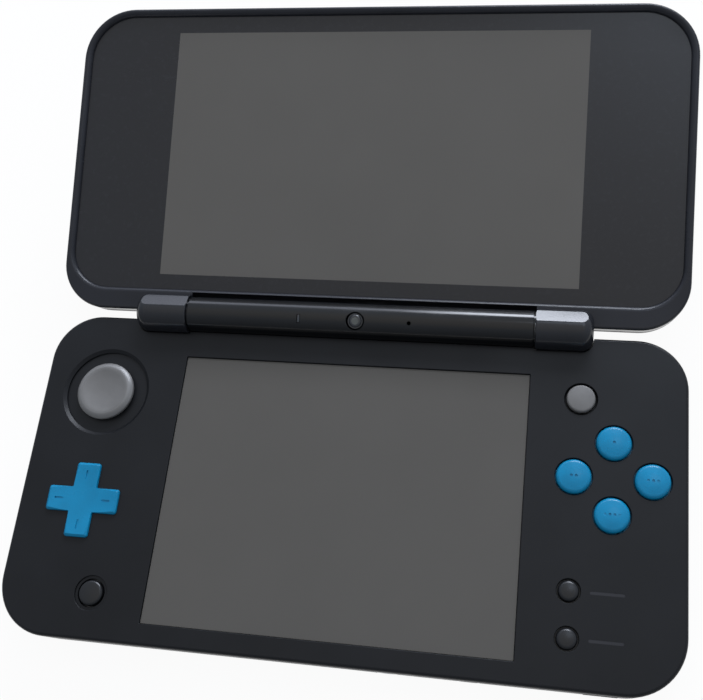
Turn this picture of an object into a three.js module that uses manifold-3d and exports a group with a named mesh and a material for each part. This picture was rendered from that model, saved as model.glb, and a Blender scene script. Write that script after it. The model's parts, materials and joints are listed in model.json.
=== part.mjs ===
// Clamshell handheld game console, open on a table, in millimetres with +Z up.
// The origin is the centre of the base's flat bottom, +X is the player's right and +Y points to the hinge.
import * as THREE from 'three';
import { mergeVertices } from 'three/addons/utils/BufferGeometryUtils.js';
import Module from 'manifold-3d';

// Screens and the body around them
const lowerWindowWidth = 86.2;
const lowerWindowHeight = 65.8;
const upperWindowWidth = 107.1;
const upperWindowHeight = 64.9;
const sideMargin = 36.6;
const frontMargin = 5.0;
const rearMargin = 10.0;
const baseThickness = 12.4;
const lidThickness = 8.0;
const closingGap = 0.4;
const upperWindowShift = 1.6;

// Walls, edges and clearances
const wall = 1.2;
const seamGap = 0.3;
const seatGap = 0.3;
const slideGap = 0.3;
const turnGap = 0.4;
const overrun = 5.0;
const weldDistance = 0.0001;
const baseFrontCorner = 13.2;
const baseRearCorner = 12.0;
const deckEdge = 0.9;
const bottomEdge = 2.4;
const seamHeight = 9.0;

// Hinge
const hingeBehindBase = 1.3;
const hingeAboveDeck = 0.85;
const knuckleRadius = 5.0;
const barrelRadius = 4.5;
const barrelWall = 1.1;
const barrelHalfLength = 43.4;
const knuckleLength = 13.7;
const knuckleRounding = 1.4;
const notchRadius = 5.6;
const troughWall = 1.2;
const lidNearEdge = 0.7;
const shaftRadius = 2.1;
const shaftLength = 15.5;
const clutchRadius = 3.0;
const clutchLength = 14.0;
const bushLength = 16.0;
const bushWall = 0.5;
const flexRollWall = 0.5;
const cableRollLength = 21.0;
const knuckleBoreDepth = 10.5;

// Lid
const lidNearCorner = 11.8;
const lidFarCorner = 13.5;
const rimEdge = 0.8;
const coverEdge = 2.6;
const rimWidth = 1.9;
const nearRidge = 0.75;
const recessDepth = 1.2;
const panelThickness = 1.0;
const panelLedge = 3.0;
const lidSeamDepth = 3.6;
const displayThickness = 4.0;
const displayBorder = 3.2;
const ribbonWidth = 9.0;
const ribbonThickness = 0.4;

// Touch screen and its display
const screenSink = 0.4;
const touchFlange = 0.5;
const lowerDisplayBorder = 1.9;
const lowerDisplayThickness = 2.4;

// Columns of controls beside the lower screen
const columnShift = 1.6;
const padRearInset = 20.4;
const crossFrontInset = 32.5;
const diamondRearInset = 34.1;
const diamondHalfWidth = 8.8;
const diamondHalfHeight = 8.35;
const homeInset = 6.6;
const homeFrontInset = 10.8;
const nubInset = 7.8;
const nubRearInset = 15.5;
const menuInset = 8.9;
const menuUpperInset = 21.0;
const menuLowerInset = 10.8;

// Round buttons
const flangeThickness = 0.8;
const flangeLip = 0.7;
const capRounding = 0.5;
const faceRadius = 4.2;
const faceHeight = 1.2;
const faceCrown = 0.25;
const faceTravel = 0.7;
const homeRadius = 3.0;
const homeHeight = 0.5;
const homeRingWidth = 0.7;
const homeRingDepth = 0.4;
const menuRadius = 2.35;
const menuHeight = 0.7;
const smallCrown = 0.1;
const smallTravel = 0.5;

// Cross key
const crossSpan = 18.6;
const crossArm = 6.2;
const crossRounding = 0.7;
const crossEdge = 0.35;
const crossHeight = 1.0;
const crossGap = 0.4;
const crossFlangeRadius = 10.3;
const crossFlangeDrop = 0.6;
const crossTravel = 0.5;
const pivotRadius = 2.4;
const dashLength = 2.2;
const dashWidth = 0.5;
const dashDepth = 0.2;

// Circle pad
const padRadius = 7.7;
const padRimWidth = 1.5;
const padRimRounding = 0.6;
const padDish = 0.35;
const padHeight = 1.25;
const padCapThickness = 1.7;
const padWellRadius = 10.7;
const padWellDepth = 1.0;
const padStemRadius = 3.0;
const padTravel = 1.9;
const padSliderHalf = 7.6;
const padSliderThickness = 1.0;
const padHousingWall = 1.0;
const padHousingFloor = 0.8;

// Right nub stick
const nubRadius = 3.5;
const nubHeight = 1.0;
const nubCrown = 0.35;
const nubSkirt = 1.7;
const nubNeckRadius = 1.7;
const nubWellGap = 0.55;
const nubPostRadius = 1.5;
const nubSensorWidth = 8.6;
const nubSensorThickness = 0.6;

// Main board and what hangs under it
const boardBottom = 6.4;
const boardThickness = 1.0;
const boardMargin = 1.6;
const boardRearMargin = 4.6;
const membraneThickness = 0.5;
const domeRadius = 2.0;
const batteryWidth = 48.0;
const batteryShift = -8.0;
const batteryRearInset = 16.4;
const batteryRounding = 2.0;
const shieldWidth = 10.0;
const shieldDepth = 20.0;
const shieldThickness = 2.4;
const wirelessWidth = 11.0;
const wirelessDepth = 13.0;
const wirelessThickness = 1.6;
const chipGap = 3.0;

// Screws
const screwHeadRadius = 1.9;
const screwHeadHeight = 1.1;
const screwHeadSink = 1.6;
const screwRadius = 0.9;
const screwLength = 7.4;
const bossWall = 1.2;
const screwFrontInsetX = 8.2;
const screwFrontInsetY = 9.4;
const screwRearInsetX = 16.2;
const screwRearInsetY = 5.5;
const driveWidth = 0.6;
const driveLength = 2.2;
const driveDepth = 0.5;

// Speakers and cameras in the underside
const speakerLength = 17.0;
const speakerWidth = 11.0;
const speakerThickness = 4.0;
const speakerInsetX = 22.4;
const speakerInsetY = 14.0;
const grilleSlotWidth = 1.0;
const grilleSlotLength = 8.0;
const grillePitch = 2.4;
const grilleSlots = 5;
const outerCameraRadius = 2.6;
const outerCameraFlange = 1.0;
const outerCameraHeight = 3.4;
const outerCameraSpacing = 35.0;
const outerCameraInset = 9.6;
const outerCameraSink = 0.3;

// Camera, light and microphone in the hinge barrel
const frontCameraRadius = 1.5;
const frontCameraRing = 0.75;
const frontCameraSink = 0.35;
const frontCameraLength = 2.2;
const frontCameraTiltDegrees = 21.0;
const lightOffset = 14.3;
const lightWidth = 0.8;
const lightLength = 2.2;
const microphoneOffset = 13.4;
const microphoneRadius = 0.5;

// Card bay in the front wall
const doorSpeakerGap = 2.8;
const doorBottom = 2.6;
const doorTop = 7.6;
const doorThickness = 1.4;
const doorPinRadius = 0.35;
const doorPinGap = 0.2;
const doorPinReach = 1.0;
const bayGap = 3.4;
const readerDepth = 22.0;
const readerSlotHeight = 2.4;
const readerWall = 0.9;
const readerHeight = 4.2;
const bayBottom = 1.8;
const memoryWidth = 13.0;
const memoryDepth = 14.0;
const memoryHeight = 2.4;
const memorySlotHeight = 1.0;
const memorySlotWidth = 11.4;

// Stylus
const jackStylusSpacing = 18.5;
const siloShieldGap = 1.2;
const stylusRadius = 1.9;
const stylusHeadRadius = 2.4;
const stylusHeadLength = 2.4;
const siloEndMargin = 10.8;
const stylusTipLength = 8.0;
const stylusTipRadius = 0.6;
const siloHeight = 3.2;
const siloWall = 0.6;
const nailNotchWidth = 1.0;
const nailNotchDepth = 0.6;

// Ports, power button and volume slider
const jackDoorSpacing = 7.5;
const jackHeight = 3.8;
const jackRadius = 2.5;
const jackBoreRadius = 1.75;
const jackBodyWidth = 6.4;
const jackBodyDepth = 12.0;
const jackBodyHeight = 4.4;
const jackCollarLength = 2.0;
const portWidth = 8.6;
const portHeight = 3.0;
const portDepth = 6.0;
const portWall = 0.7;
const portCentreHeight = 3.8;
const powerInset = 17.7;
const powerWidth = 7.0;
const powerHeight = 1.9;
const powerCentreHeight = 4.5;
const powerProud = 0.3;
const powerDepth = 2.6;
const volumeY = 2.0;
const volumeLength = 5.0;
const volumeHeight = 1.9;
const volumeCentreHeight = 5.0;
const volumeProud = 0.8;
const volumeTravel = 3.5;
const volumeFlangeLip = 1.0;
const volumeFlangeThickness = 0.8;
const sensorBlockWidth = 4.0;
const sensorBlockLength = 12.0;

// Shoulder buttons and the small triggers beside them
const shoulderBottom = 2.4;
const shoulderTop = 6.0;
const shoulderProud = 0.5;
const shoulderThickness = 2.0;
const shoulderSpan = 27.7;
const shoulderWrap = 7.2;
const shoulderPivotInset = 4.2;
const shoulderPivotInsetY = 9.2;
const shoulderPivotRadius = 0.9;
const shoulderLugWall = 1.1;
const triggerShoulderGap = 1.6;
const triggerWidth = 12.0;
const triggerDepth = 3.6;
const triggerLip = 0.6;
const triggerLipThickness = 0.8;

// Steps that make the round shapes
const cornerSteps = 6;
const smallSteps = 2;
const edgeSteps = 2;
const roundSides = 24;
const capSides = 20;
const smallSides = 12;
const domeSteps = 2;

// Angles
const quarterTurn = Math.PI / 2;
const halfTurn = Math.PI;
const restElevation = THREE.MathUtils.degToRad(14.5);
const frontCameraTilt = THREE.MathUtils.degToRad(frontCameraTiltDegrees);

// Sizes that follow from the ones above
const bodyWidth = lowerWindowWidth + 2 * sideMargin;
const baseDepth = lowerWindowHeight + frontMargin + rearMargin;
const right = bodyWidth / 2;
const left = -right;
const rear = baseDepth / 2;
const front = -rear;
const deck = baseThickness;
const deckUnderside = deck - wall;
const floor = wall;
const lidDepth = baseDepth;
const hingeY = rear + hingeBehindBase;
const hingeZ = deck + hingeAboveDeck;
const lowerWindowY = front + frontMargin + lowerWindowHeight / 2;
const column = (right + lowerWindowWidth / 2) / 2 + columnShift;
const boardTop = boardBottom + boardThickness;
const padY = rear - padRearInset;
const crossY = front + crossFrontInset;
const diamondY = rear - diamondRearInset;
const homeY = front + homeFrontInset;
const nubY = rear - nubRearInset;
const menuUpperY = front + menuUpperInset;
const menuLowerY = front + menuLowerInset;
const doorLeftX = left + speakerInsetX + speakerLength / 2 + doorSpeakerGap;
const shieldLeftX = batteryShift + batteryWidth / 2 + chipGap;
const siloRadius = stylusRadius + slideGap + siloWall;
const stylusX = shieldLeftX + shieldWidth + siloShieldGap + siloRadius;
const jackX = stylusX - jackStylusSpacing;
const doorRightX = jackX - jackDoorSpacing;
const bayFront = front + doorThickness + wall;
const memoryLeftX = doorRightX - seatGap - memoryWidth;
const stylusLength = baseDepth - siloEndMargin;
const powerX = right - powerInset;
const batteryFrontY = bayFront + readerDepth + seatGap;
const batteryRearY = rear - batteryRearInset;
const shoulderInnerX = right - shoulderSpan;
const shoulderFrontY = rear - shoulderWrap;
const shoulderPivotY = rear - shoulderPivotInsetY;
const triggerOuterX = shoulderInnerX - triggerShoulderGap;
const knuckleInner = barrelHalfLength + turnGap;
const knuckleOuter = knuckleInner + knuckleLength;
const rimTop = hingeAboveDeck - closingGap;
const coverFace = rimTop - lidThickness;
const lidSeam = rimTop - lidSeamDepth;
const lidFarEdge = lidNearEdge + lidDepth;
const recessFloor = rimTop - recessDepth - panelThickness - seatGap;
const frontCameraWindow = frontCameraRadius + frontCameraRing;
const recessNear = notchRadius + nearRidge;
const recessFar = lidFarEdge - rimWidth;
const recessSide = right - rimWidth;
const flangeTop = deckUnderside - seatGap;
const membraneBottom = boardTop + seatGap;
const buttonUnderside = flangeTop - flangeThickness;
const crossFlangeTop = deckUnderside - crossFlangeDrop;
const crossUnderside = crossFlangeTop - flangeThickness;

const wasm = await Module();
wasm.setup();

// Turns a closed three.js geometry into a solid, with every face pointing out
function solidOf(geometry) {
  const bare = geometry.index ? geometry.toNonIndexed() : geometry.clone();
  bare.deleteAttribute('normal');
  bare.deleteAttribute('uv');
  const welded = mergeVertices(bare, weldDistance);
  const places = welded.getAttribute('position');
  const source = welded.index.array;
  const corners = [];
  let volume = 0;
  const a = new THREE.Vector3();
  const b = new THREE.Vector3();
  const c = new THREE.Vector3();
  for (let i = 0; i < source.length; i += 3) {
    const [p, q, r] = [source[i], source[i + 1], source[i + 2]];
    if (p === q || q === r || r === p) continue;
    corners.push(p, q, r);
    a.fromBufferAttribute(places, p);
    b.fromBufferAttribute(places, q);
    c.fromBufferAttribute(places, r);
    volume += a.dot(b.cross(c));
  }
  if (volume < 0) corners.reverse();
  const mesh = new wasm.Mesh({
    numProp: 3,
    vertProperties: new Float32Array(places.array),
    triVerts: new Uint32Array(corners),
  });
  return new wasm.Manifold(mesh);
}

function join(first, ...others) {
  let solid = first;
  for (const other of others) solid = solid.add(other);
  return solid;
}

function cut(first, ...tools) {
  let solid = first;
  for (const tool of tools) solid = solid.subtract(tool);
  return solid;
}

function geometryOf(solid) {
  const mesh = solid.getMesh();
  const geometry = new THREE.BufferGeometry();
  geometry.setAttribute('position', new THREE.BufferAttribute(new Float32Array(mesh.vertProperties), 3));
  geometry.setIndex(new THREE.BufferAttribute(new Uint32Array(mesh.triVerts), 1));
  geometry.computeVertexNormals();
  return geometry;
}

function piece(name, solid, material) {
  const mesh = new THREE.Mesh(geometryOf(solid), material);
  mesh.name = name;
  return mesh;
}

// A box between two limits on each axis, in either order
function block([x0, x1], [y0, y1], [z0, z1]) {
  const geometry = new THREE.BoxGeometry(Math.abs(x1 - x0), Math.abs(y1 - y0), Math.abs(z1 - z0));
  geometry.translate((x0 + x1) / 2, (y0 + y1) / 2, (z0 + z1) / 2);
  return solidOf(geometry);
}

// A round bar along Z, X or Y
function barZ(radius, x, y, bottom, top, sides = roundSides) {
  const geometry = new THREE.CylinderGeometry(radius, radius, top - bottom, sides);
  geometry.rotateX(quarterTurn);
  geometry.translate(x, y, (bottom + top) / 2);
  return solidOf(geometry);
}

function barX(radius, y, z, x0, x1, sides = roundSides) {
  const geometry = new THREE.CylinderGeometry(radius, radius, Math.abs(x1 - x0), sides);
  geometry.rotateZ(quarterTurn);
  geometry.translate((x0 + x1) / 2, y, z);
  return solidOf(geometry);
}

function barY(radius, x, z, y0, y1, sides = roundSides) {
  const geometry = new THREE.CylinderGeometry(radius, radius, Math.abs(y1 - y0), sides);
  geometry.translate(x, (y0 + y1) / 2, z);
  return solidOf(geometry);
}

// A turned body about a line along Z, from a list of [radius, height]
function turned(profile, x, y, sides = roundSides) {
  const points = profile.map(([radius, height]) => new THREE.Vector2(radius, height));
  const geometry = new THREE.LatheGeometry(points, sides);
  geometry.rotateX(quarterTurn);
  geometry.translate(x, y, 0);
  return solidOf(geometry);
}

function outline(x0, x1, y0, y1, frontRadius, rearRadius) {
  const shape = new THREE.Shape();
  shape.moveTo(x0 + frontRadius, y0);
  shape.lineTo(x1 - frontRadius, y0);
  shape.absarc(x1 - frontRadius, y0 + frontRadius, frontRadius, -quarterTurn, 0, false);
  shape.lineTo(x1, y1 - rearRadius);
  shape.absarc(x1 - rearRadius, y1 - rearRadius, rearRadius, 0, quarterTurn, false);
  shape.lineTo(x0 + rearRadius, y1);
  shape.absarc(x0 + rearRadius, y1 - rearRadius, rearRadius, quarterTurn, halfTurn, false);
  shape.lineTo(x0, y0 + frontRadius);
  shape.absarc(x0 + frontRadius, y0 + frontRadius, frontRadius, halfTurn, halfTurn + quarterTurn, false);
  return shape;
}

function plate(shape, bottom, top, corner = cornerSteps) {
  const options = { depth: top - bottom, bevelEnabled: false, curveSegments: corner };
  const geometry = new THREE.ExtrudeGeometry(shape, options);
  geometry.translate(0, 0, bottom);
  return solidOf(geometry);
}

// A plate whose top and bottom edges are rounded within its outline
function softPlate(shape, bottom, top, edge, corner = cornerSteps) {
  const options = {
    depth: top - bottom - 2 * edge,
    bevelEnabled: true,
    bevelThickness: edge,
    bevelSize: edge,
    bevelOffset: -edge,
    bevelSegments: edgeSteps,
    curveSegments: corner,
  };
  const geometry = new THREE.ExtrudeGeometry(shape, options);
  geometry.translate(0, 0, bottom + edge);
  return solidOf(geometry);
}

// All that lies between two heights, wider than the console
function layer(bottom, top) {
  return block([left - overrun, right + overrun], [front - overrun, lidFarEdge + overrun], [bottom, top]);
}

function baseOutline(inset) {
  const frontRadius = baseFrontCorner - inset;
  const rearRadius = baseRearCorner - inset;
  return outline(left + inset, right - inset, front + inset, rear - inset, frontRadius, rearRadius);
}

function lidOutline(inset) {
  const near = lidNearEdge + inset;
  const far = lidFarEdge - inset;
  return outline(left + inset, right - inset, near, far, lidNearCorner - inset, lidFarCorner - inset);
}

// Profile of a round push button: flange, straight cap, rounded edge and a low crown
function buttonProfile(radius, top, crown) {
  const shoulder = top - crown - capRounding;
  const brim = radius + flangeLip;
  const profile = [[0, buttonUnderside], [brim, buttonUnderside], [brim, flangeTop], [radius, flangeTop]];
  for (let i = 0; i <= domeSteps; i += 1) {
    const angle = (quarterTurn * i) / domeSteps;
    const reach = radius - capRounding + capRounding * Math.cos(angle);
    profile.push([reach, shoulder + capRounding * Math.sin(angle)]);
  }
  profile.push([(radius - capRounding) / 2, top - crown / 4], [0, top]);
  return profile;
}

const black = new THREE.MeshStandardMaterial({ color: 0x2b2b2f, roughness: 0.55, metalness: 0 });
const gloss = new THREE.MeshStandardMaterial({ color: 0x28282c, roughness: 0.12, metalness: 0 });
const screen = new THREE.MeshStandardMaterial({ color: 0x575757, roughness: 0.3, metalness: 0 });
const turquoise = new THREE.MeshStandardMaterial({ color: 0x2492c0, roughness: 0.4, metalness: 0 });
const grey = new THREE.MeshStandardMaterial({ color: 0x85878a, roughness: 0.6, metalness: 0 });
const glass = new THREE.MeshStandardMaterial({ color: 0x3c4440, roughness: 0.08, metalness: 0 });
const rubber = new THREE.MeshStandardMaterial({ color: 0x5b5b60, roughness: 0.85, metalness: 0 });
const steel = new THREE.MeshStandardMaterial({ color: 0x9a9a9c, roughness: 0.35, metalness: 1 });
const board = new THREE.MeshStandardMaterial({ color: 0x1f5a3a, roughness: 0.6, metalness: 0 });
const foil = new THREE.MeshStandardMaterial({ color: 0xb5762a, roughness: 0.5, metalness: 0 });
const cell = new THREE.MeshStandardMaterial({ color: 0x6a6d72, roughness: 0.5, metalness: 0 });
const lens = new THREE.MeshStandardMaterial({ color: 0xb8c4cc, roughness: 0.2, metalness: 0 });

// Where the base holds the hinge: the turning knuckles and the fixed barrel lie in one trough
function hingeTrough(extra) {
  const knuckleEnds = knuckleOuter + turnGap + extra;
  const knuckles = barX(knuckleRadius + turnGap + extra, hingeY, hingeZ, -knuckleEnds, knuckleEnds);
  const inner = barX(knuckleRadius + turnGap + overrun, hingeY, hingeZ, -barrelHalfLength, barrelHalfLength);
  const middle = barX(barrelRadius + seatGap + extra, hingeY, hingeZ, -barrelHalfLength, barrelHalfLength);
  return join(cut(knuckles, inner), middle);
}

// The inside of the base between two heights, less the walls round the trough
function baseCavity(bottom, top) {
  return cut(plate(baseOutline(wall), bottom, top), hingeTrough(troughWall));
}

function screwPlaces() {
  const places = [];
  for (const side of [-1, 1]) {
    places.push([side * (right - screwFrontInsetX), front + screwFrontInsetY]);
    places.push([side * (right - screwRearInsetX), rear - screwRearInsetY]);
  }
  return places;
}

function crossShape(span, arm, rounding) {
  const half = span / 2;
  const side = arm / 2;
  const shape = new THREE.Shape();
  const tips = [[1, 0], [0, 1], [-1, 0], [0, -1]];
  tips.forEach(([ux, uy], index) => {
    const turn = index * quarterTurn;
    const at = (along, across) => [ux * along - uy * across, uy * along + ux * across];
    const [startX, startY] = at(side, -side);
    const [edgeX, edgeY] = at(half - rounding, -side);
    const [lowX, lowY] = at(half - rounding, -side + rounding);
    const [highX, highY] = at(half - rounding, side - rounding);
    if (index === 0) shape.moveTo(startX, startY);
    else shape.lineTo(startX, startY);
    shape.lineTo(edgeX, edgeY);
    shape.absarc(lowX, lowY, rounding, turn - quarterTurn, turn, false);
    shape.absarc(highX, highY, rounding, turn, turn + quarterTurn, false);
  });
  return shape;
}

function movedShape(shape, x, y) {
  const points = shape.getPoints(smallSteps).map((point) => new THREE.Vector2(point.x + x, point.y + y));
  return new THREE.Shape(points);
}

const faceButtonPlaces = {
  face_button_top: [column, diamondY + diamondHalfHeight],
  face_button_left: [column - diamondHalfWidth, diamondY],
  face_button_right: [column + diamondHalfWidth, diamondY],
  face_button_bottom: [column, diamondY - diamondHalfHeight],
};
const menuButtonPlaces = {
  menu_button_upper: [column - menuInset, menuUpperY],
  menu_button_lower: [column - menuInset, menuLowerY],
};
const homePlace = [-column + homeInset, homeY];
const nubPlace = [column - nubInset, nubY];
const padPlace = [-column, padY];
const crossPlace = [-column, crossY];

function upperShell() {
  const bottom = seamHeight + seamGap / 2;
  const body = cut(
    softPlate(baseOutline(0), bottom - overrun, deck, deckEdge),
    layer(bottom - 2 * overrun, bottom),
  );
  let shell = cut(body, baseCavity(bottom - overrun, deckUnderside));
  const wellFloor = deck - padWellDepth;
  const wellHole = padStemRadius + padTravel * Math.SQRT2 + slideGap;
  const [padX] = padPlace;
  const wellOuter = padWellRadius + wall;
  shell = join(shell, barZ(wellOuter, padX, padY, wellFloor - wall, deckUnderside + wall / 2));
  const bossRadius = screwRadius + slideGap + bossWall;
  for (const [x, y] of screwPlaces()) {
    shell = join(shell, barZ(bossRadius, x, y, boardBottom, deckUnderside + wall / 2, smallSides));
  }
  const crossHole = crossShape(crossSpan + 2 * crossGap, crossArm + 2 * crossGap, crossRounding);
  const cuts = [
    hingeTrough(0),
    barZ(padWellRadius, padX, padY, wellFloor, deck + overrun),
    barZ(wellHole, padX, padY, wellFloor - overrun, deck),
    plate(movedShape(crossHole, ...crossPlace), deckUnderside - overrun, deck + overrun),
    barZ(homeRadius + slideGap, ...homePlace, deckUnderside - overrun, deck + overrun),
    barZ(homeRadius + slideGap + homeRingWidth, ...homePlace, deck - homeRingDepth, deck + overrun),
    barZ(nubRadius + nubWellGap, ...nubPlace, deckUnderside - overrun, deck + overrun),
  ];
  for (const [x, y] of Object.values(faceButtonPlaces)) {
    cuts.push(barZ(faceRadius + slideGap, x, y, deckUnderside - overrun, deck + overrun));
  }
  for (const [x, y] of Object.values(menuButtonPlaces)) {
    cuts.push(barZ(menuRadius + slideGap, x, y, deckUnderside - overrun, deck + overrun));
  }
  for (const [x, y] of screwPlaces()) {
    const holeTop = screwHeadSink + screwLength + seatGap;
    cuts.push(barZ(screwRadius + slideGap, x, y, boardBottom - overrun, holeTop, smallSides));
  }
  const halfWidth = lowerWindowWidth / 2;
  const halfHeight = lowerWindowHeight / 2;
  cuts.push(block([-halfWidth, halfWidth], [lowerWindowY - halfHeight, lowerWindowY + halfHeight],
    [deckUnderside - overrun, deck + overrun]));
  return piece('base_upper_shell', cut(shell, ...cuts), black);
}

function speakerPlace(side) {
  return [side * (right - speakerInsetX), front + speakerInsetY];
}

function outerCameraPlace(side) {
  return [(side * outerCameraSpacing) / 2, rear - outerCameraInset];
}

// The part of a shoulder button's wall that the base leaves open, grown by a gap
function shoulderRegion(side, gap) {
  const inner = side * (shoulderInnerX - gap);
  const outer = side * (right + overrun);
  const frontEdge = shoulderFrontY - gap;
  return block([inner, outer], [frontEdge, rear + overrun], [shoulderBottom - gap, shoulderTop + gap]);
}

function triggerRegion(side, gap) {
  const inner = side * (triggerOuterX - triggerWidth - gap);
  const outer = side * (triggerOuterX + gap);
  const depth = [rear - 2 * wall, rear + overrun];
  return block([inner, outer], depth, [shoulderBottom - gap, shoulderTop + gap]);
}

function shoulderPivot(side) {
  return [side * (right - shoulderPivotInset), shoulderPivotY];
}

function lowerShellCuts() {
  const cuts = [hingeTrough(0)];
  for (const [x, y] of screwPlaces()) {
    const headTop = screwHeadSink + screwHeadHeight + seatGap;
    cuts.push(barZ(screwHeadRadius + slideGap, x, y, -overrun, headTop, smallSides));
    cuts.push(barZ(screwRadius + slideGap, x, y, -overrun, boardBottom + overrun, smallSides));
  }
  for (const side of [-1, 1]) {
    const [speakerX, speakerY] = speakerPlace(side);
    const reach = grilleSlotLength / 2;
    const half = grilleSlotWidth / 2;
    for (let i = 0; i < grilleSlots; i += 1) {
      const x = speakerX + (i - (grilleSlots - 1) / 2) * grillePitch;
      const length = [speakerY - reach, speakerY + reach];
      cuts.push(block([x - half, x + half], length, [-overrun, floor + seatGap]));
    }
    const [cameraX, cameraY] = outerCameraPlace(side);
    cuts.push(barZ(outerCameraRadius + seatGap, cameraX, cameraY, -overrun, floor + overrun));
    cuts.push(shoulderRegion(side, turnGap), triggerRegion(side, slideGap));
  }
  cuts.push(block([doorLeftX - seamGap, doorRightX + seamGap], [front - overrun, front + 2 * wall],
    [doorBottom - turnGap, doorTop + seamGap]));
  const pinReach = doorPinReach + doorPinGap;
  cuts.push(barX(doorPinRadius + doorPinGap, front + doorThickness / 2, doorBottom + doorThickness / 2,
    doorLeftX - pinReach, doorRightX + pinReach, smallSides));
  const headEnd = front + stylusHeadLength + slideGap;
  const siloEnd = front + stylusLength + slideGap;
  cuts.push(barY(stylusHeadRadius + slideGap, stylusX, siloHeight, front - overrun, headEnd));
  cuts.push(barY(stylusRadius + slideGap, stylusX, siloHeight, front, siloEnd, smallSides));
  cuts.push(barY(jackRadius + seatGap, jackX, jackHeight, front - overrun, front + 2 * wall));
  const portHalf = portWidth / 2 + seatGap;
  const portRise = portHeight / 2 + seatGap;
  cuts.push(block([-portHalf, portHalf], [rear - 2 * wall, rear + overrun],
    [portCentreHeight - portRise, portCentreHeight + portRise]));
  const powerHalf = powerWidth / 2 + slideGap;
  const powerRise = powerHeight / 2 + slideGap;
  cuts.push(block([powerX - powerHalf, powerX + powerHalf], [front - overrun, front + 2 * wall],
    [powerCentreHeight - powerRise, powerCentreHeight + powerRise]));
  const volumeHalf = volumeLength / 2 + volumeTravel + slideGap;
  const volumeRise = volumeHeight / 2 + slideGap;
  cuts.push(block([left - overrun, left + 2 * wall], [volumeY - volumeHalf, volumeY + volumeHalf],
    [volumeCentreHeight - volumeRise, volumeCentreHeight + volumeRise]));
  return cuts;
}

function lowerShell() {
  const top = seamHeight - seamGap / 2;
  const body = cut(
    softPlate(baseOutline(0), 0, top + 2 * bottomEdge, bottomEdge),
    layer(top, top + 4 * bottomEdge),
  );
  let shell = cut(body, baseCavity(floor, top + overrun));
  const sunk = floor / 2;
  const bossRadius = screwHeadRadius + slideGap + bossWall;
  for (const [x, y] of screwPlaces()) {
    shell = join(shell, barZ(bossRadius, x, y, sunk, boardBottom - seatGap, smallSides));
  }
  for (const side of [-1, 1]) {
    const [x, y] = shoulderPivot(side);
    shell = join(shell, barZ(shoulderPivotRadius, x, y, sunk, shoulderTop, smallSides));
  }
  const siloFront = front + wall / 2;
  shell = join(shell, barY(siloRadius, stylusX, siloHeight, siloFront, front + stylusLength, smallSides));
  return piece('base_lower_shell', cut(shell, ...lowerShellCuts()), black);
}

function touchPanel() {
  const top = deck - screenSink;
  const border = lowerDisplayBorder;
  const halfWidth = lowerWindowWidth / 2;
  const halfHeight = lowerWindowHeight / 2;
  const low = flangeTop - touchFlange;
  const raised = block([-halfWidth + seatGap, halfWidth - seatGap],
    [lowerWindowY - halfHeight + seatGap, lowerWindowY + halfHeight - seatGap], [low, top]);
  const flange = block([-halfWidth - border, halfWidth + border],
    [lowerWindowY - halfHeight - border, lowerWindowY + halfHeight + border], [low, flangeTop]);
  return piece('touch_panel', join(raised, flange), screen);
}

function lowerDisplay() {
  const top = flangeTop - touchFlange - seatGap;
  const halfWidth = lowerWindowWidth / 2 + lowerDisplayBorder;
  const halfHeight = lowerWindowHeight / 2 + lowerDisplayBorder;
  return piece('lower_display', block([-halfWidth, halfWidth],
    [lowerWindowY - halfHeight, lowerWindowY + halfHeight], [top - lowerDisplayThickness, top]), steel);
}

function mainBoard() {
  const inset = wall + boardMargin;
  const shape = outline(left + inset, right - inset, front + inset, rear - boardRearMargin,
    baseFrontCorner - inset, baseRearCorner - inset);
  let solid = plate(shape, boardBottom, boardTop);
  for (const [x, y] of screwPlaces()) {
    const hole = screwRadius + slideGap + bossWall + seatGap;
    solid = cut(solid, barZ(hole, x, y, boardBottom - overrun, boardTop + overrun, smallSides));
  }
  return piece('main_board', solid, board);
}

function battery() {
  const half = batteryWidth / 2;
  const shape = outline(batteryShift - half, batteryShift + half, batteryFrontY, batteryRearY,
    batteryRounding, batteryRounding);
  return piece('battery', plate(shape, floor + seatGap, boardBottom - seatGap, smallSteps), cell);
}

function processorShield() {
  const x = shieldLeftX;
  const top = boardBottom - seatGap;
  return piece('processor_shield', block([x, x + shieldWidth],
    [batteryRearY - shieldDepth, batteryRearY], [top - shieldThickness, top]), steel);
}

function wirelessModule() {
  const x = batteryShift - batteryWidth / 2 - chipGap;
  const top = boardBottom - seatGap;
  return piece('wireless_module', block([x - wirelessWidth, x],
    [batteryRearY - wirelessDepth, batteryRearY], [top - wirelessThickness, top]), steel);
}

// A rubber dome that stops short of its button, so that the button can travel
function dome([x, y], buttonUnderside, travel) {
  const sheetTop = membraneBottom + membraneThickness;
  const top = buttonUnderside - travel - seatGap;
  const profile = [[0, membraneBottom], [domeRadius, membraneBottom], [domeRadius, sheetTop]];
  profile.push([domeRadius * Math.SQRT1_2, top], [0, top]);
  return turned(profile, x, y, smallSides);
}

// Rubber sheet under the cross key and the home button
function leftMembrane() {
  const reach = (crossSpan - crossArm) / 2;
  const [x, y] = crossPlace;
  const half = crossSpan / 2;
  const [homeX] = homePlace;
  const top = membraneBottom + membraneThickness;
  const sheet = join(
    block([x - half, x + half], [y - half, y + half], [membraneBottom, top]),
    block([homeX - homeRadius, homeX + homeRadius], [homeY - homeRadius, y], [membraneBottom, top]),
  );
  const hole = barZ(pivotRadius + seatGap, x, y, membraneBottom - overrun, top + overrun, smallSides);
  const armPlaces = [[x + reach, y], [x - reach, y], [x, y + reach], [x, y - reach]];
  const domes = armPlaces.map((place) => dome(place, crossUnderside, crossTravel));
  domes.push(dome(homePlace, buttonUnderside, smallTravel));
  return piece('left_membrane', join(cut(sheet, hole), ...domes), rubber);
}

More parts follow.
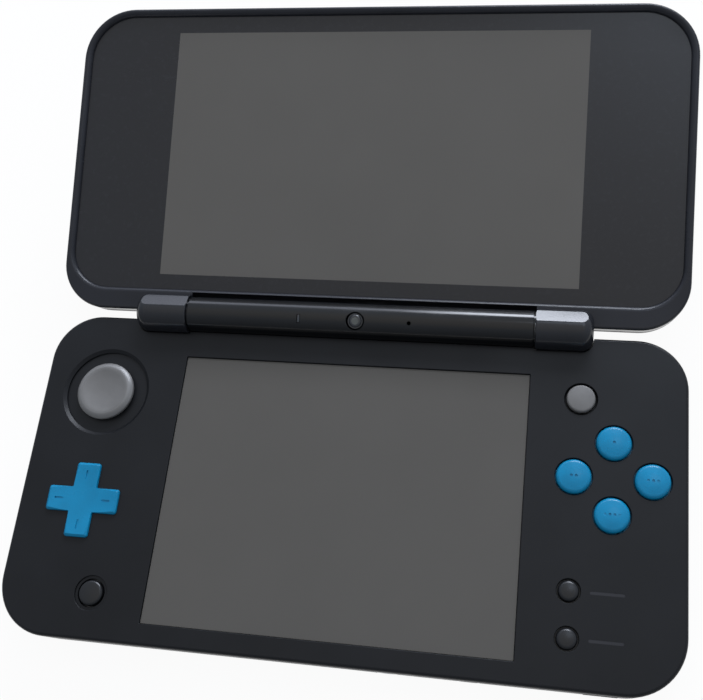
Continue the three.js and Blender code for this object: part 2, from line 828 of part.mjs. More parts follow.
// Rubber sheet under the four face buttons and the two menu buttons
function rightMembrane() {
  const top = membraneBottom + membraneThickness;
  const halfWidth = diamondHalfWidth + faceRadius;
  const halfHeight = diamondHalfHeight + faceRadius;
  const [menuX] = menuButtonPlaces.menu_button_lower;
  const sheet = join(
    block([column - halfWidth, column + halfWidth], [diamondY - halfHeight, diamondY + halfHeight],
      [membraneBottom, top]),
    block([menuX - menuRadius, menuX + menuRadius], [menuLowerY - menuRadius, diamondY],
      [membraneBottom, top]),
  );
  const faceDomes = Object.values(faceButtonPlaces).map((place) => dome(place, buttonUnderside, faceTravel));
  const menuDomes = Object.values(menuButtonPlaces).map((place) => dome(place, buttonUnderside, smallTravel));
  return piece('right_membrane', join(sheet, ...faceDomes, ...menuDomes), rubber);
}

function roundButton(name, [x, y], radius, height, crown, sides, material) {
  const profile = buttonProfile(radius, deck + height, crown);
  const button = piece(name, turned(profile, 0, 0, sides), material);
  button.position.set(x, y, 0);
  return button;
}

function crossKey() {
  const shape = crossShape(crossSpan, crossArm, crossRounding);
  const top = deck + crossHeight;
  let solid = join(
    softPlate(shape, crossUnderside, top, crossEdge, smallSteps),
    barZ(crossFlangeRadius, 0, 0, crossUnderside, crossFlangeTop),
  );
  const reach = (crossSpan - crossArm) / 2;
  for (const [ux, uy] of [[1, 0], [-1, 0], [0, 1], [0, -1]]) {
    const halfX = (ux ? dashLength : dashWidth) / 2;
    const halfY = (uy ? dashLength : dashWidth) / 2;
    const [x, y] = [ux * reach, uy * reach];
    const mark = [top - dashDepth, top + overrun];
    solid = cut(solid, block([x - halfX, x + halfX], [y - halfY, y + halfY], mark));
  }
  const key = piece('cross_key', solid, turquoise);
  key.position.set(...crossPlace, 0);
  return key;
}

function crossPivot() {
  const top = crossUnderside - seatGap;
  const profile = [[0, membraneBottom], [pivotRadius, membraneBottom], [pivotRadius, top - pivotRadius / 2]];
  profile.push([pivotRadius * Math.SQRT1_2, top - pivotRadius / 8], [0, top]);
  return piece('cross_key_pivot', turned(profile, ...crossPlace, smallSides), grey);
}

// Circle pad: a concave cap on a stem, carried by a slider that runs across its housing
function padHeights() {
  const housingTop = deck - padWellDepth - wall - seatGap;
  const sliderTop = housingTop - seatGap;
  const sliderBottom = sliderTop - padSliderThickness;
  return { housingTop, sliderTop, sliderBottom };
}

function circlePad() {
  const top = deck + padHeight;
  const under = top - padCapThickness;
  const inner = padRadius - padRimWidth;
  const { sliderBottom } = padHeights();
  const profile = [[0, sliderBottom], [padStemRadius, sliderBottom], [padStemRadius, under]];
  profile.push([padRadius - padRimRounding, under]);
  for (let i = 0; i <= domeSteps; i += 1) {
    const angle = (quarterTurn * i) / domeSteps;
    const reach = padRadius - padRimRounding + padRimRounding * Math.cos(angle);
    profile.push([reach, top - padRimRounding + padRimRounding * Math.sin(angle)]);
  }
  profile.push([inner, top], [inner * Math.SQRT1_2, top - (padDish * 3) / 4], [0, top - padDish]);
  const pad = piece('circle_pad', turned(profile, 0, 0), grey);
  pad.position.set(...padPlace, 0);
  return pad;
}

function circlePadSlider() {
  const { sliderTop, sliderBottom } = padHeights();
  const slot = padStemRadius + slideGap;
  const solid = cut(
    block([-padSliderHalf, padSliderHalf], [-padSliderHalf, padSliderHalf], [sliderBottom, sliderTop]),
    block([-slot, slot], [-slot - padTravel, slot + padTravel],
      [sliderBottom - overrun, sliderTop + overrun]),
  );
  const slider = piece('circle_pad_slider', solid, grey);
  slider.position.set(...padPlace, 0);
  return slider;
}

function circlePadHousing() {
  const { housingTop, sliderBottom } = padHeights();
  const halfX = padSliderHalf + padTravel + slideGap;
  const halfY = padSliderHalf + slideGap;
  const trayFloor = sliderBottom - seatGap;
  const outerX = halfX + padHousingWall;
  const outerY = halfY + padHousingWall;
  const solid = cut(
    block([-outerX, outerX], [-outerY, outerY], [trayFloor - padHousingFloor, housingTop]),
    block([-halfX, halfX], [-halfY, halfY], [trayFloor, housingTop + overrun]),
  );
  const housing = piece('circle_pad_housing', solid, steel);
  housing.position.set(...padPlace, 0);
  return housing;
}

// Nub stick: a domed cap on a neck, over a post that stands on its sensor plate
function nubHeights() {
  const sensorTop = boardTop + seatGap + nubSensorThickness;
  const postTop = sensorTop + seatGap + nubPostRadius;
  return { sensorTop, postTop };
}

function nubStick() {
  const top = deck + nubHeight;
  const under = top - nubSkirt;
  const neckBottom = nubHeights().postTop + seatGap;
  const profile = [[0, neckBottom], [nubNeckRadius, neckBottom], [nubNeckRadius, under], [nubRadius, under]];
  for (let i = 0; i <= domeSteps; i += 1) {
    const angle = (quarterTurn * i) / domeSteps;
    const reach = nubRadius - capRounding + capRounding * Math.cos(angle);
    profile.push([reach, top - nubCrown - capRounding + capRounding * Math.sin(angle)]);
  }
  profile.push([(nubRadius - capRounding) / 2, top - nubCrown / 4], [0, top]);
  const cap = piece('nub_stick', turned(profile, 0, 0), grey);
  cap.position.set(...nubPlace, 0);
  return cap;
}

function nubPost() {
  const { sensorTop, postTop } = nubHeights();
  return piece('nub_post', barZ(nubPostRadius, ...nubPlace, sensorTop + seatGap, postTop, smallSides), steel);
}

function nubSensor() {
  const half = nubSensorWidth / 2;
  const [x, y] = nubPlace;
  const { sensorTop } = nubHeights();
  return piece('nub_sensor', block([x - half, x + half], [y - half, y + half],
    [sensorTop - nubSensorThickness, sensorTop]), steel);
}

function screw(index, [x, y]) {
  const headTop = screwHeadSink + screwHeadHeight;
  const solid = cut(
    join(
      barZ(screwHeadRadius, x, y, screwHeadSink, headTop, smallSides),
      barZ(screwRadius, x, y, screwHeadSink, screwHeadSink + screwLength, smallSides),
    ),
    block([x - driveWidth / 2, x + driveWidth / 2], [y - driveLength / 2, y + driveLength / 2],
      [-overrun, screwHeadSink + driveDepth]),
    block([x - driveLength / 2, x + driveLength / 2], [y - driveWidth / 2, y + driveWidth / 2],
      [-overrun, screwHeadSink + driveDepth]),
  );
  return piece(`cover_screw_${index + 1}`, solid, steel);
}

function speaker(name, side) {
  const [x, y] = speakerPlace(side);
  const halfLength = speakerLength / 2;
  const halfWidth = speakerWidth / 2;
  const corner = speakerWidth / 4;
  const shape = outline(x - halfLength, x + halfLength, y - halfWidth, y + halfWidth, corner, corner);
  const low = floor + seatGap;
  return piece(name, plate(shape, low, low + speakerThickness, smallSteps), steel);
}

function outerCamera(name, side) {
  const [x, y] = outerCameraPlace(side);
  const flangeLow = floor + seatGap;
  const solid = join(
    barZ(outerCameraRadius, x, y, outerCameraSink, flangeLow + outerCameraHeight),
    barZ(outerCameraRadius + outerCameraFlange, x, y, flangeLow, flangeLow + outerCameraHeight),
  );
  return piece(name, solid, glass);
}

function hingeBarrel() {
  const inner = barrelRadius - barrelWall;
  const tube = cut(
    barX(barrelRadius, 0, 0, -barrelHalfLength, barrelHalfLength),
    barX(inner, 0, 0, -barrelHalfLength - overrun, barrelHalfLength + overrun),
  );
  const solid = cut(
    tube,
    barZ(frontCameraWindow, 0, 0, 0, barrelRadius + overrun, smallSides),
    block([-lightOffset - lightWidth / 2, -lightOffset + lightWidth / 2], [-lightLength / 2, lightLength / 2],
      [0, barrelRadius + overrun]),
    barZ(microphoneRadius, microphoneOffset, 0, 0, barrelRadius + overrun, smallSides),
  );
  const barrel = piece('hinge_barrel', solid, black);
  barrel.position.set(0, hingeY, hingeZ);
  barrel.rotation.x = frontCameraTilt;
  return barrel;
}

function frontCamera() {
  const top = barrelRadius - frontCameraSink;
  const solid = join(
    barZ(frontCameraWindow - seatGap, 0, 0, top - frontCameraLength, top - frontCameraSink, smallSides),
    barZ(frontCameraRadius, 0, 0, top - frontCameraLength, top, smallSides),
  );
  const camera = piece('front_camera', solid, glass);
  camera.position.set(0, hingeY, hingeZ);
  camera.rotation.x = frontCameraTilt;
  return camera;
}

function indicatorLight() {
  const halfWidth = lightWidth / 2 - seatGap / 2;
  const halfLength = lightLength / 2 - seatGap / 2;
  const top = barrelRadius - seatGap / 2;
  const light = piece('indicator_light', block([-lightOffset - halfWidth, -lightOffset + halfWidth],
    [-halfLength, halfLength], [barrelRadius - barrelWall - seatGap, top]), lens);
  light.position.set(0, hingeY, hingeZ);
  light.rotation.x = frontCameraTilt;
  return light;
}

// Click clutch in the right end of the barrel; the lid's shaft turns in it
function hingeClutch() {
  const end = barrelHalfLength;
  const start = end - clutchLength;
  const solid = cut(
    barX(clutchRadius, hingeY, hingeZ, start, end),
    barX(shaftRadius + slideGap, hingeY, hingeZ, end - clutchLength / 2, end + overrun),
  );
  return piece('hinge_clutch', solid, steel);
}

// Hollow bush in the left end, which carries the left knuckle and lets the display cable through
function hingeBush() {
  const outer = -knuckleInner - knuckleBoreDepth + turnGap;
  const solid = cut(
    barX(clutchRadius, hingeY, hingeZ, outer, outer + bushLength),
    barX(clutchRadius - bushWall, hingeY, hingeZ, outer - overrun, outer + bushLength + overrun),
  );
  return piece('hinge_bush', solid, steel);
}

// The display cable is rolled up inside the bush, with a slit along its underside
function displayCableRoll() {
  const outer = -knuckleInner - knuckleBoreDepth + turnGap;
  const radius = clutchRadius - bushWall - seatGap;
  const end = outer + cableRollLength;
  const solid = cut(
    barX(radius, hingeY, hingeZ, outer, end, smallSides),
    barX(radius - flexRollWall, hingeY, hingeZ, outer - overrun, end + overrun, smallSides),
    block([outer - overrun, end + overrun], [hingeY - flexRollWall, hingeY + flexRollWall],
      [hingeZ - radius - overrun, hingeZ]),
  );
  return piece('display_cable_roll', solid, foil);
}

// The outer form of the base, which the door and the stylus end flush with
function baseBody() {
  return softPlate(baseOutline(0), 0, deck + bottomEdge, bottomEdge);
}

// Card door in the front wall, and the two sockets behind it
function cardDoor() {
  const flap = baseBody().intersect(block([doorLeftX, doorRightX],
    [front - overrun, front + doorThickness], [doorBottom, doorTop]));
  const half = doorThickness / 2;
  const pin = barX(doorPinRadius, front + half, doorBottom + half, doorLeftX - doorPinReach,
    doorRightX + doorPinReach, smallSides);
  return piece('card_door', join(flap, pin), black);
}

function cardReader() {
  const x0 = doorLeftX + seatGap;
  const x1 = memoryLeftX - bayGap;
  const solid = cut(
    block([x0, x1], [bayFront, bayFront + readerDepth], [bayBottom, bayBottom + readerHeight]),
    block([x0 + readerWall, x1 - readerWall], [bayFront - overrun, bayFront + readerDepth - readerWall],
      [bayBottom + readerWall, bayBottom + readerWall + readerSlotHeight]),
  );
  return piece('game_card_reader', solid, steel);
}

function memorySocket() {
  const x0 = memoryLeftX;
  const x1 = x0 + memoryWidth;
  const middle = (x0 + x1) / 2;
  const z = bayBottom + memoryHeight / 2;
  const solid = cut(
    block([x0, x1], [bayFront, bayFront + memoryDepth], [bayBottom, bayBottom + memoryHeight]),
    block([middle - memorySlotWidth / 2, middle + memorySlotWidth / 2],
      [bayFront - overrun, bayFront + memoryDepth - readerWall],
      [z - memorySlotHeight / 2, z + memorySlotHeight / 2]),
  );
  return piece('memory_card_socket', solid, steel);
}

function headphoneJack() {
  const y1 = front + wall + seatGap;
  const half = jackBodyWidth / 2;
  const rise = jackBodyHeight / 2;
  const solid = cut(
    join(
      block([jackX - half, jackX + half], [y1, y1 + jackBodyDepth], [jackHeight - rise, jackHeight + rise]),
      barY(jackRadius, jackX, jackHeight, front, y1 + jackCollarLength),
    ),
    barY(jackBoreRadius, jackX, jackHeight, front - overrun, y1 + jackBodyDepth - wall, smallSides),
  );
  return piece('headphone_jack', solid, steel);
}

function chargingPort() {
  const halfWidth = portWidth / 2;
  const rise = portHeight / 2;
  const solid = cut(
    block([-halfWidth, halfWidth], [rear - portDepth, rear - seatGap],
      [portCentreHeight - rise, portCentreHeight + rise]),
    block([-halfWidth + portWall, halfWidth - portWall], [rear - portDepth + portWall, rear + overrun],
      [portCentreHeight - rise + portWall, portCentreHeight + rise - portWall]),
  );
  return piece('charging_port', solid, steel);
}

function powerButton() {
  const half = powerWidth / 2;
  const rise = powerHeight / 2;
  const flangeFront = front + wall + seatGap;
  const solid = join(
    block([powerX - half, powerX + half], [front - powerProud, flangeFront + powerDepth / 2],
      [powerCentreHeight - rise, powerCentreHeight + rise]),
    block([powerX - half - flangeLip, powerX + half + flangeLip], [flangeFront, flangeFront + powerDepth / 2],
      [powerCentreHeight - rise - flangeLip, powerCentreHeight + rise + flangeLip]),
  );
  return piece('power_button', solid, black);
}

function volumeSlider() {
  const half = volumeLength / 2;
  const rise = volumeHeight / 2;
  const flangeLeft = left + wall + seatGap;
  const solid = join(
    block([left - volumeProud, flangeLeft + volumeFlangeThickness], [volumeY - half, volumeY + half],
      [volumeCentreHeight - rise, volumeCentreHeight + rise]),
    block([flangeLeft, flangeLeft + volumeFlangeThickness],
      [volumeY - half - volumeFlangeLip, volumeY + half + volumeFlangeLip],
      [volumeCentreHeight - rise - slideGap, volumeCentreHeight + rise + slideGap]),
  );
  return piece('volume_slider', solid, black);
}

function volumeSensor() {
  const x0 = left + wall + seatGap + volumeFlangeThickness + slideGap;
  const top = boardBottom - seatGap;
  const half = sensorBlockLength / 2;
  return piece('volume_potentiometer', block([x0, x0 + sensorBlockWidth], [volumeY - half, volumeY + half],
    [volumeCentreHeight - volumeHeight / 2, top]), steel);
}

function stylus() {
  const headEnd = front + stylusHeadLength;
  const shoulder = front + stylusLength - stylusTipLength;
  const profile = [[0, headEnd], [stylusRadius, headEnd], [stylusRadius, shoulder]];
  profile.push([stylusTipRadius, front + stylusLength], [0, front + stylusLength]);
  const points = profile.map(([radius, along]) => new THREE.Vector2(radius, along));
  const shank = new THREE.LatheGeometry(points, smallSides);
  shank.translate(stylusX, 0, siloHeight);
  const head = barY(stylusHeadRadius, stylusX, siloHeight, front - overrun, headEnd + slideGap / 2);
  const notch = block([stylusX - stylusHeadRadius, stylusX + stylusHeadRadius], [front + nailNotchDepth,
    front + nailNotchDepth + nailNotchWidth], [-overrun, siloHeight - stylusRadius]);
  const solid = join(cut(head.intersect(baseBody()), notch), solidOf(shank));
  return piece('stylus', solid, black);
}

// Shoulder buttons follow the rear corner of the base and swing about an upright post
function shoulderButton(name, side) {
  const outer = plate(baseOutline(-shoulderProud), shoulderBottom, shoulderTop);
  const innerOutline = baseOutline(shoulderThickness - shoulderProud);
  const inner = plate(innerOutline, shoulderBottom - overrun, shoulderTop + overrun);
  const skin = cut(outer, inner).intersect(shoulderRegion(side, 0));
  const [x, y] = shoulderPivot(side);
  const lugRadius = shoulderPivotRadius + slideGap + shoulderLugWall;
  const lug = join(
    barZ(lugRadius, x, y, shoulderBottom, shoulderTop, smallSides),
    block([x - lugRadius, x + lugRadius], [y, y + overrun], [shoulderBottom, shoulderTop]),
  );
  const inside = lug.intersect(plate(baseOutline(wall + turnGap), shoulderBottom, shoulderTop));
  const behindSkin = lug.intersect(plate(baseOutline(shoulderProud), shoulderBottom, shoulderTop))
    .intersect(shoulderRegion(side, 0));
  const hole = barZ(shoulderPivotRadius + slideGap, x, y, -overrun, shoulderTop + overrun, smallSides);
  return piece(name, cut(join(skin, inside, behindSkin), hole), black);
}

function triggerButton(name, side) {
  const outer = side * triggerOuterX;
  const inner = side * (triggerOuterX - triggerWidth);
  const lipFront = rear - wall - seatGap - triggerLipThickness;
  const solid = join(
    block([inner, outer], [rear - triggerDepth, rear + shoulderProud], [shoulderBottom, shoulderTop]),
    block([inner - side * triggerLip, outer + side * triggerLip], [lipFront, lipFront + triggerLipThickness],
      [shoulderBottom - triggerLip / 2, shoulderTop]),
  );
  return piece(name, solid, black);
}

// Lid pieces are made about the hinge line: +Y runs along the lid, and +Z leaves its screen side
function recessOutline(inset) {
  return outline(-recessSide + inset, recessSide - inset, recessNear + inset, recessFar - inset,
    lidNearCorner - rimWidth - inset, lidFarCorner - rimWidth - inset);
}

function lidNotch(radius) {
  return barX(radius, 0, 0, -barrelHalfLength - turnGap, barrelHalfLength + turnGap);
}

function knuckle(side) {
  const inner = side * knuckleInner;
  const outer = side * knuckleOuter;
  const tapered = side * (knuckleOuter - knuckleRounding);
  const tip = new THREE.CylinderGeometry(
    side > 0 ? knuckleRadius - knuckleRounding : knuckleRadius,
    side > 0 ? knuckleRadius : knuckleRadius - knuckleRounding,
    knuckleRounding,
    roundSides,
  );
  tip.rotateZ(-quarterTurn);
  tip.translate((tapered + outer) / 2, 0, 0);
  return join(barX(knuckleRadius, 0, 0, inner, tapered), solidOf(tip));
}

function knuckleBores() {
  const bore = clutchRadius + slideGap;
  return join(
    barX(bore, 0, 0, -knuckleInner + overrun, -knuckleInner - knuckleBoreDepth),
    barX(shaftRadius + slideGap, 0, 0, knuckleInner - overrun, knuckleInner + knuckleBoreDepth),
  );
}

function lidInnerFrame() {
  const bottom = lidSeam + seamGap / 2;
  const body = cut(
    softPlate(lidOutline(0), bottom - overrun, rimTop, rimEdge),
    layer(bottom - 2 * overrun, bottom),
  );
  const window = plate(recessOutline(panelLedge), bottom - overrun, rimTop + overrun);
  const hollow = cut(window, lidNotch(notchRadius + troughWall));
  const solid = cut(
    join(cut(body, plate(recessOutline(0), recessFloor, rimTop + overrun), hollow), knuckle(-1), knuckle(1)),
    lidNotch(notchRadius),
    knuckleBores(),
  );
  return piece('lid_inner_frame', solid, black);
}

function lidOuterCover() {
  const top = lidSeam - seamGap / 2;
  const body = cut(
    softPlate(lidOutline(0), coverFace, top + 2 * coverEdge, coverEdge),
    layer(top, top + 4 * coverEdge),
  );
  const cavity = cut(
    plate(lidOutline(wall), coverFace + wall, top + overrun),
    lidNotch(notchRadius + troughWall),
    barX(knuckleRadius + seatGap + troughWall, 0, 0, -knuckleOuter - wall, knuckleOuter + wall),
  );
  const knuckleClear = barX(knuckleRadius + seatGap, 0, 0, -knuckleOuter - seatGap, knuckleOuter + seatGap);
  return piece('lid_outer_cover', cut(body, cavity, lidNotch(notchRadius), knuckleClear), black);
}

function upperPanel() {
  const top = rimTop - recessDepth;
  return piece('upper_screen_panel', plate(recessOutline(seatGap), top - panelThickness, top), gloss);
}

function upperDisplay() {
  const centre = lidNearEdge + lidDepth / 2 + upperWindowShift;
  const halfWidth = upperWindowWidth / 2 + displayBorder;
  const halfHeight = upperWindowHeight / 2;
  const top = rimTop - recessDepth - panelThickness - seatGap;
  return piece('upper_display', block([-halfWidth, halfWidth], [centre - halfHeight, centre + halfHeight],
    [top - displayThickness, top]), steel);
}

function ribbonCable() {
  const centre = lidNearEdge + lidDepth / 2 + upperWindowShift;
  const end = centre - upperWindowHeight / 2 - seatGap;
  const start = knuckleRadius + seatGap + troughWall + seatGap;
  const x = -knuckleInner - ribbonWidth;
  const low = coverFace + wall + seatGap;
  const solid = block([x, x + ribbonWidth], [start, end], [low, low + ribbonThickness]);
  return piece('lid_ribbon_cable', solid, foil);
}

function hingeShaft() {
  const start = barrelHalfLength - clutchLength / 2 + seatGap;
  return piece('hinge_shaft', barX(shaftRadius, 0, 0, start, start + shaftLength), steel);
}

const base = new THREE.Group();
base.add(
  upperShell(),
  lowerShell(),
  touchPanel(),
  lowerDisplay(),
  mainBoard(),
  battery(),
  processorShield(),
  wirelessModule(),
  leftMembrane(),
  rightMembrane(),
  crossKey(),
  crossPivot(),
  circlePad(),
  circlePadSlider(),
  circlePadHousing(),
  nubStick(),
  nubPost(),
  nubSensor(),
  roundButton('home_button', homePlace, homeRadius, homeHeight, smallCrown, smallSides, black),
  speaker('left_speaker', -1),
  speaker('right_speaker', 1),
  outerCamera('left_outer_camera', -1),
  outerCamera('right_outer_camera', 1),
  hingeBarrel(),
  frontCamera(),
  indicatorLight(),
  hingeClutch(),
  hingeBush(),
  displayCableRoll(),
  cardDoor(),
  cardReader(),
  memorySocket(),
  headphoneJack(),
  chargingPort(),
  powerButton(),
  volumeSlider(),
  volumeSensor(),
  stylus(),
  shoulderButton('left_shoulder_button', -1),
  shoulderButton('right_shoulder_button', 1),
  triggerButton('left_trigger_button', -1),
  triggerButton('right_trigger_button', 1),
);
for (const [name, place] of Object.entries(faceButtonPlaces)) {
  base.add(roundButton(name, place, faceRadius, faceHeight, faceCrown, capSides, turquoise));
}
for (const [name, place] of Object.entries(menuButtonPlaces)) {
  base.add(roundButton(name, place, menuRadius, menuHeight, smallCrown, smallSides, black));
}
screwPlaces().forEach((place, index) => base.add(screw(index, place)));

const lid = new THREE.Group();
lid.position.set(0, hingeY, hingeZ);
lid.rotation.x = restElevation;
lid.add(lidInnerFrame(), lidOuterCover(), upperPanel(), upperDisplay(), ribbonCable(), hingeShaft());

const console3d = new THREE.Group();
console3d.add(base, lid);

export default console3d;
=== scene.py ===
# Clamshell handheld game console, dressed piece by piece around its frame, in metres with +Z up.
import json
from math import cos, pi, radians, sin, tan

import bmesh
import bpy
from bpy.props import FloatProperty, FloatVectorProperty, IntProperty, PointerProperty
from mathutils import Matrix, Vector


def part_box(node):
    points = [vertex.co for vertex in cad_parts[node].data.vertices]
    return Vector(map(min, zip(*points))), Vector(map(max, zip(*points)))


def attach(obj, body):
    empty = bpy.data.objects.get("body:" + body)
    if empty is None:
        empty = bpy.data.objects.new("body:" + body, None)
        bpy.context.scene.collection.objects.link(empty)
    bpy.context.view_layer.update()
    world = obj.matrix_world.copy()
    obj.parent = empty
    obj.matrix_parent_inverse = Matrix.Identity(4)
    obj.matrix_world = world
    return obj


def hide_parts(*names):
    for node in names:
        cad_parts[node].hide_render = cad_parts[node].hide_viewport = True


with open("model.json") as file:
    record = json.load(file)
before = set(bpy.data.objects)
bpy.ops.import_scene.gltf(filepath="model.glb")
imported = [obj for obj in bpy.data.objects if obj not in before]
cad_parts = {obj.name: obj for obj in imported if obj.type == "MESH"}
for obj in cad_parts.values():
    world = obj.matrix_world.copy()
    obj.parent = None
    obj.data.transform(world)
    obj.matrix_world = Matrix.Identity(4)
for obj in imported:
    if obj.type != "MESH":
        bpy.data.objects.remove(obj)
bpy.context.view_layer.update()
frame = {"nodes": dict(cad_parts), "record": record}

bl_info = {
    "name": "Clamshell Game Console",
    "version": (1, 0, 0),
    "blender": (4, 5, 0),
    "location": "View3D > Sidebar > Console",
    "description": "Builds a clamshell game console, one piece or group of pieces at a time",
    "category": "Add Mesh",
}

MM = 0.001
QUARTER_TURN = pi / 2
OVERRUN = 3 * MM
EDGE_SLOPE = radians(36)
STYLUS_HEIGHT = 3.2 * MM
JACK_HEIGHT = 3.8 * MM
SCREW_HOLE = 1.2 * MM
SHOULDER_DEPTH = 7.2 * MM
POST_FROM_SIDE, POST_FROM_REAR = 4.2 * MM, 9.2 * MM
SIDES = {"left": -1, "right": 1}
FACE_BUTTONS = ("face_button_top", "face_button_left", "face_button_right", "face_button_bottom")
MENU_BUTTONS = ("menu_button_upper", "menu_button_lower")
# Parts that show through slots; they take darkened steel as painted shade.
SEEN_THROUGH_SLOTS = ("volume_potentiometer", "left_speaker", "right_speaker")
JOINTS = {joint["name"]: joint for joint in frame["record"]["behaviour"]["joints"]}
HINGE = Vector(JOINTS["lid_hinge"]["pos_m"])
REST_TILT = radians(180 - JOINTS["lid_hinge"]["range_deg"][1])


def corners(node):
    low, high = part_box(node)
    return Vector(low), Vector(high)


def middle(node):
    low, high = corners(node)
    return (low + high) / 2


HALF_WIDTH, HALF_DEPTH, DECK = corners("base_upper_shell")[1]


def length(name, description, millimetres):
    """A size that a user can change."""
    return FloatProperty(
        name=name, description=description, default=millimetres * MM, min=0, precision=5,
        unit="LENGTH")


def tilt(name, description, degrees):
    """An angle that a user can change."""
    return FloatProperty(
        name=name, description=description, default=radians(degrees), subtype="ANGLE")


def colour(name, description, default):
    """A surface colour that a user can change."""
    return FloatVectorProperty(
        name=name, description=description, default=default, subtype="COLOR", size=3, min=0, max=1)


def count(name, description, default, least):
    """A number of steps that a user can change."""
    return IntProperty(name=name, description=description, default=default, min=least)


class ConsoleShellSizes(bpy.types.PropertyGroup):
    """Sizes of the base and the lid"""
    wall: length("Wall", "Thickness of the shells", 1.2)
    front_corner: length("Front Corner", "Radius of the base's front corners", 13.2)
    rear_corner: length("Rear Corner", "Radius of the base's rear corners", 12.0)
    deck_edge: length("Deck Edge", "Rounding where the deck meets the side", 0.9)
    bottom_edge: length("Bottom Edge", "Rounding round the underside", 2.4)
    seam: length("Base Seam", "Height of the seam between the base's two shells", 9.0)
    seam_gap: length("Seam Gap", "Width of the seams", 0.3)
    near_edge: length("Lid Near Edge", "Distance from the hinge line to the lid", 0.7)
    near_corner: length("Lid Near Corner", "Radius of the lid's corners at the hinge", 11.8)
    far_corner: length("Lid Far Corner", "Radius of the lid's far corners", 13.5)
    lid_thickness: length("Lid Thickness", "Thickness of the lid", 8.0)
    rim_height: length("Rim Height", "Height of the rim over the hinge line", 0.45)
    rim_width: length("Rim Width", "Width of the rim round the screen panel", 1.9)
    rim_edge: length("Rim Edge", "Outer rounding of the rim", 0.7)
    cover_edge: length("Cover Edge", "Rounding of the outer cover", 2.6)
    lid_seam: length("Lid Seam", "Depth of the lid's seam below the rim", 3.6)
    recess: length("Recess", "Depth of the screen panel below the rim", 1.2)
    panel: length("Panel", "Thickness of the screen panel", 1.0)
    ridge: length("Near Ridge", "Width of the rim beside the hinge notch", 0.75)
    rim_round: length("Recess Rounding", "Rounding of the recess's upper edge", 1.18)


class ConsoleHingeSizes(bpy.types.PropertyGroup):
    """Sizes of the hinge"""
    barrel_radius: length("Barrel Radius", "Radius of the fixed barrel", 4.5)
    barrel_half: length("Barrel Half Length", "Half the length of the fixed barrel", 43.4)
    knuckle_radius: length("Knuckle Radius", "Radius of the turning knuckles", 5.0)
    knuckle_length: length("Knuckle Length", "Length of one knuckle", 13.7)
    knuckle_round: length("Knuckle Rounding", "Rounding of a knuckle's outer end", 2.8)
    flat_height: length("Flat Height", "Distance of a knuckle's flat from the hinge line", 4.72)
    flat_lean: tilt("Flat Lean", "How far a knuckle's flat leans back from the lid's face", 38)
    turn_gap: length("Turn Gap", "Clearance round what turns", 0.4)
    notch_radius: length("Notch Radius", "Radius of the lid's notch for the barrel", 5.6)
    camera_radius: length("Camera Radius", "Radius of the front camera's lens", 1.5)
    camera_ring: length("Camera Ring", "Width of the ring round the lens", 0.75)
    camera_tilt: tilt("Camera Tilt", "How far the barrel's face leans to the player", 21)
    light_offset: length("Light Offset", "Distance of the light from the camera", 14.3)
    microphone_offset: length("Microphone Offset", "Distance of the microphone", 13.4)


class ConsoleControlSizes(bpy.types.PropertyGroup):
    """Sizes of the buttons, pads and sticks"""
    clearance: length("Clearance", "Gap round a button", 0.3)
    rim_round: length("Hole Rounding", "Rounding of a hole's edge in the deck", 0.18)
    window_width: length("Window Width", "Width of the touch screen's window", 86.2)
    window_height: length("Window Height", "Height of the touch screen's window", 65.8)
    view_width: length("Upper View Width", "Width of the upper display's picture", 107.1)
    view_height: length("Upper View Height", "Height of the upper display's picture", 64.9)
    view_shift: length("Upper View Shift", "Shift of the picture towards the far edge", 1.6)
    face_radius: length("Face Button Radius", "Radius of a face button", 4.0)
    face_crown: length("Face Button Crown", "Height of a face button's crown", 0.45)
    home_radius: length("Home Button Radius", "Radius of the home button", 3.0)
    home_ring: length("Home Ring Width", "Width of the groove round the home button", 0.7)
    menu_radius: length("Menu Button Radius", "Radius of a menu button", 2.35)
    cap_round: length("Cap Rounding", "Rounding of a button's edge", 1.0)
    cross_span: length("Cross Span", "Width of the cross key", 18.2)
    cross_corner: length("Cross Corner", "Radius of the arms' corners", 0.7)
    cross_gap: length("Cross Gap", "Gap round the cross key", 0.4)
    cross_dish: length("Cross Dish", "Depth of the cross key's dished top", 0.5)
    cross_edge: length("Cross Edge", "Width of the slope round the cross key's top", 0.6)
    pad_radius: length("Pad Radius", "Radius of the circle pad's cap", 7.35)
    pad_rim: length("Pad Rim", "Width of the slope round the cap's dish", 1.35)
    pad_dish: length("Pad Dish", "Depth of the cap's dish", 0.9)
    pad_stem: length("Pad Stem", "Radius of the pad's stem", 3.0)
    well_radius: length("Well Radius", "Radius of the circle pad's well", 10.6)
    well_rim: length("Well Rim", "Width of the slope round the well", 0.8)
    well_depth: length("Well Depth", "Depth of the circle pad's well", 1.0)
    well_hole: length("Well Hole", "Radius of the hole in the well's floor", 6.0)
    nub_radius: length("Nub Radius", "Radius of the nub stick", 3.3)
    nub_gap: length("Nub Gap", "Gap round the nub stick", 0.55)


class ConsoleColours(bpy.types.PropertyGroup):
    """Colours of the surfaces"""
    body: colour("Body", "Moulded plastic of both shells", (0.0085, 0.0090, 0.0105))
    # Lighter and bluer than the body colour: painted light and a painted bluish sheen on the rim
    # round the screen; the knuckles take six tenths of it.
    lid_frame: colour("Lid Frame", "Rim round the screen and knuckles", (0.0230, 0.0240, 0.0290))
    surround: colour("Surround", "Polished panel round the upper picture", (0.010, 0.010, 0.0125))
    picture: colour("Picture", "Switched-off lower screen", (0.112, 0.105, 0.095))
    upper_picture: colour("Upper Picture", "Switched-off upper screen", (0.137, 0.128, 0.116))
    turquoise: colour("Turquoise", "Cross key and face buttons", (0.0025, 0.222, 0.415))
    grey: colour("Grey", "Circle pad and nub stick", (0.172, 0.166, 0.160))
    stage: colour("Stage", "Floor under the console", (0.93, 0.93, 0.93))


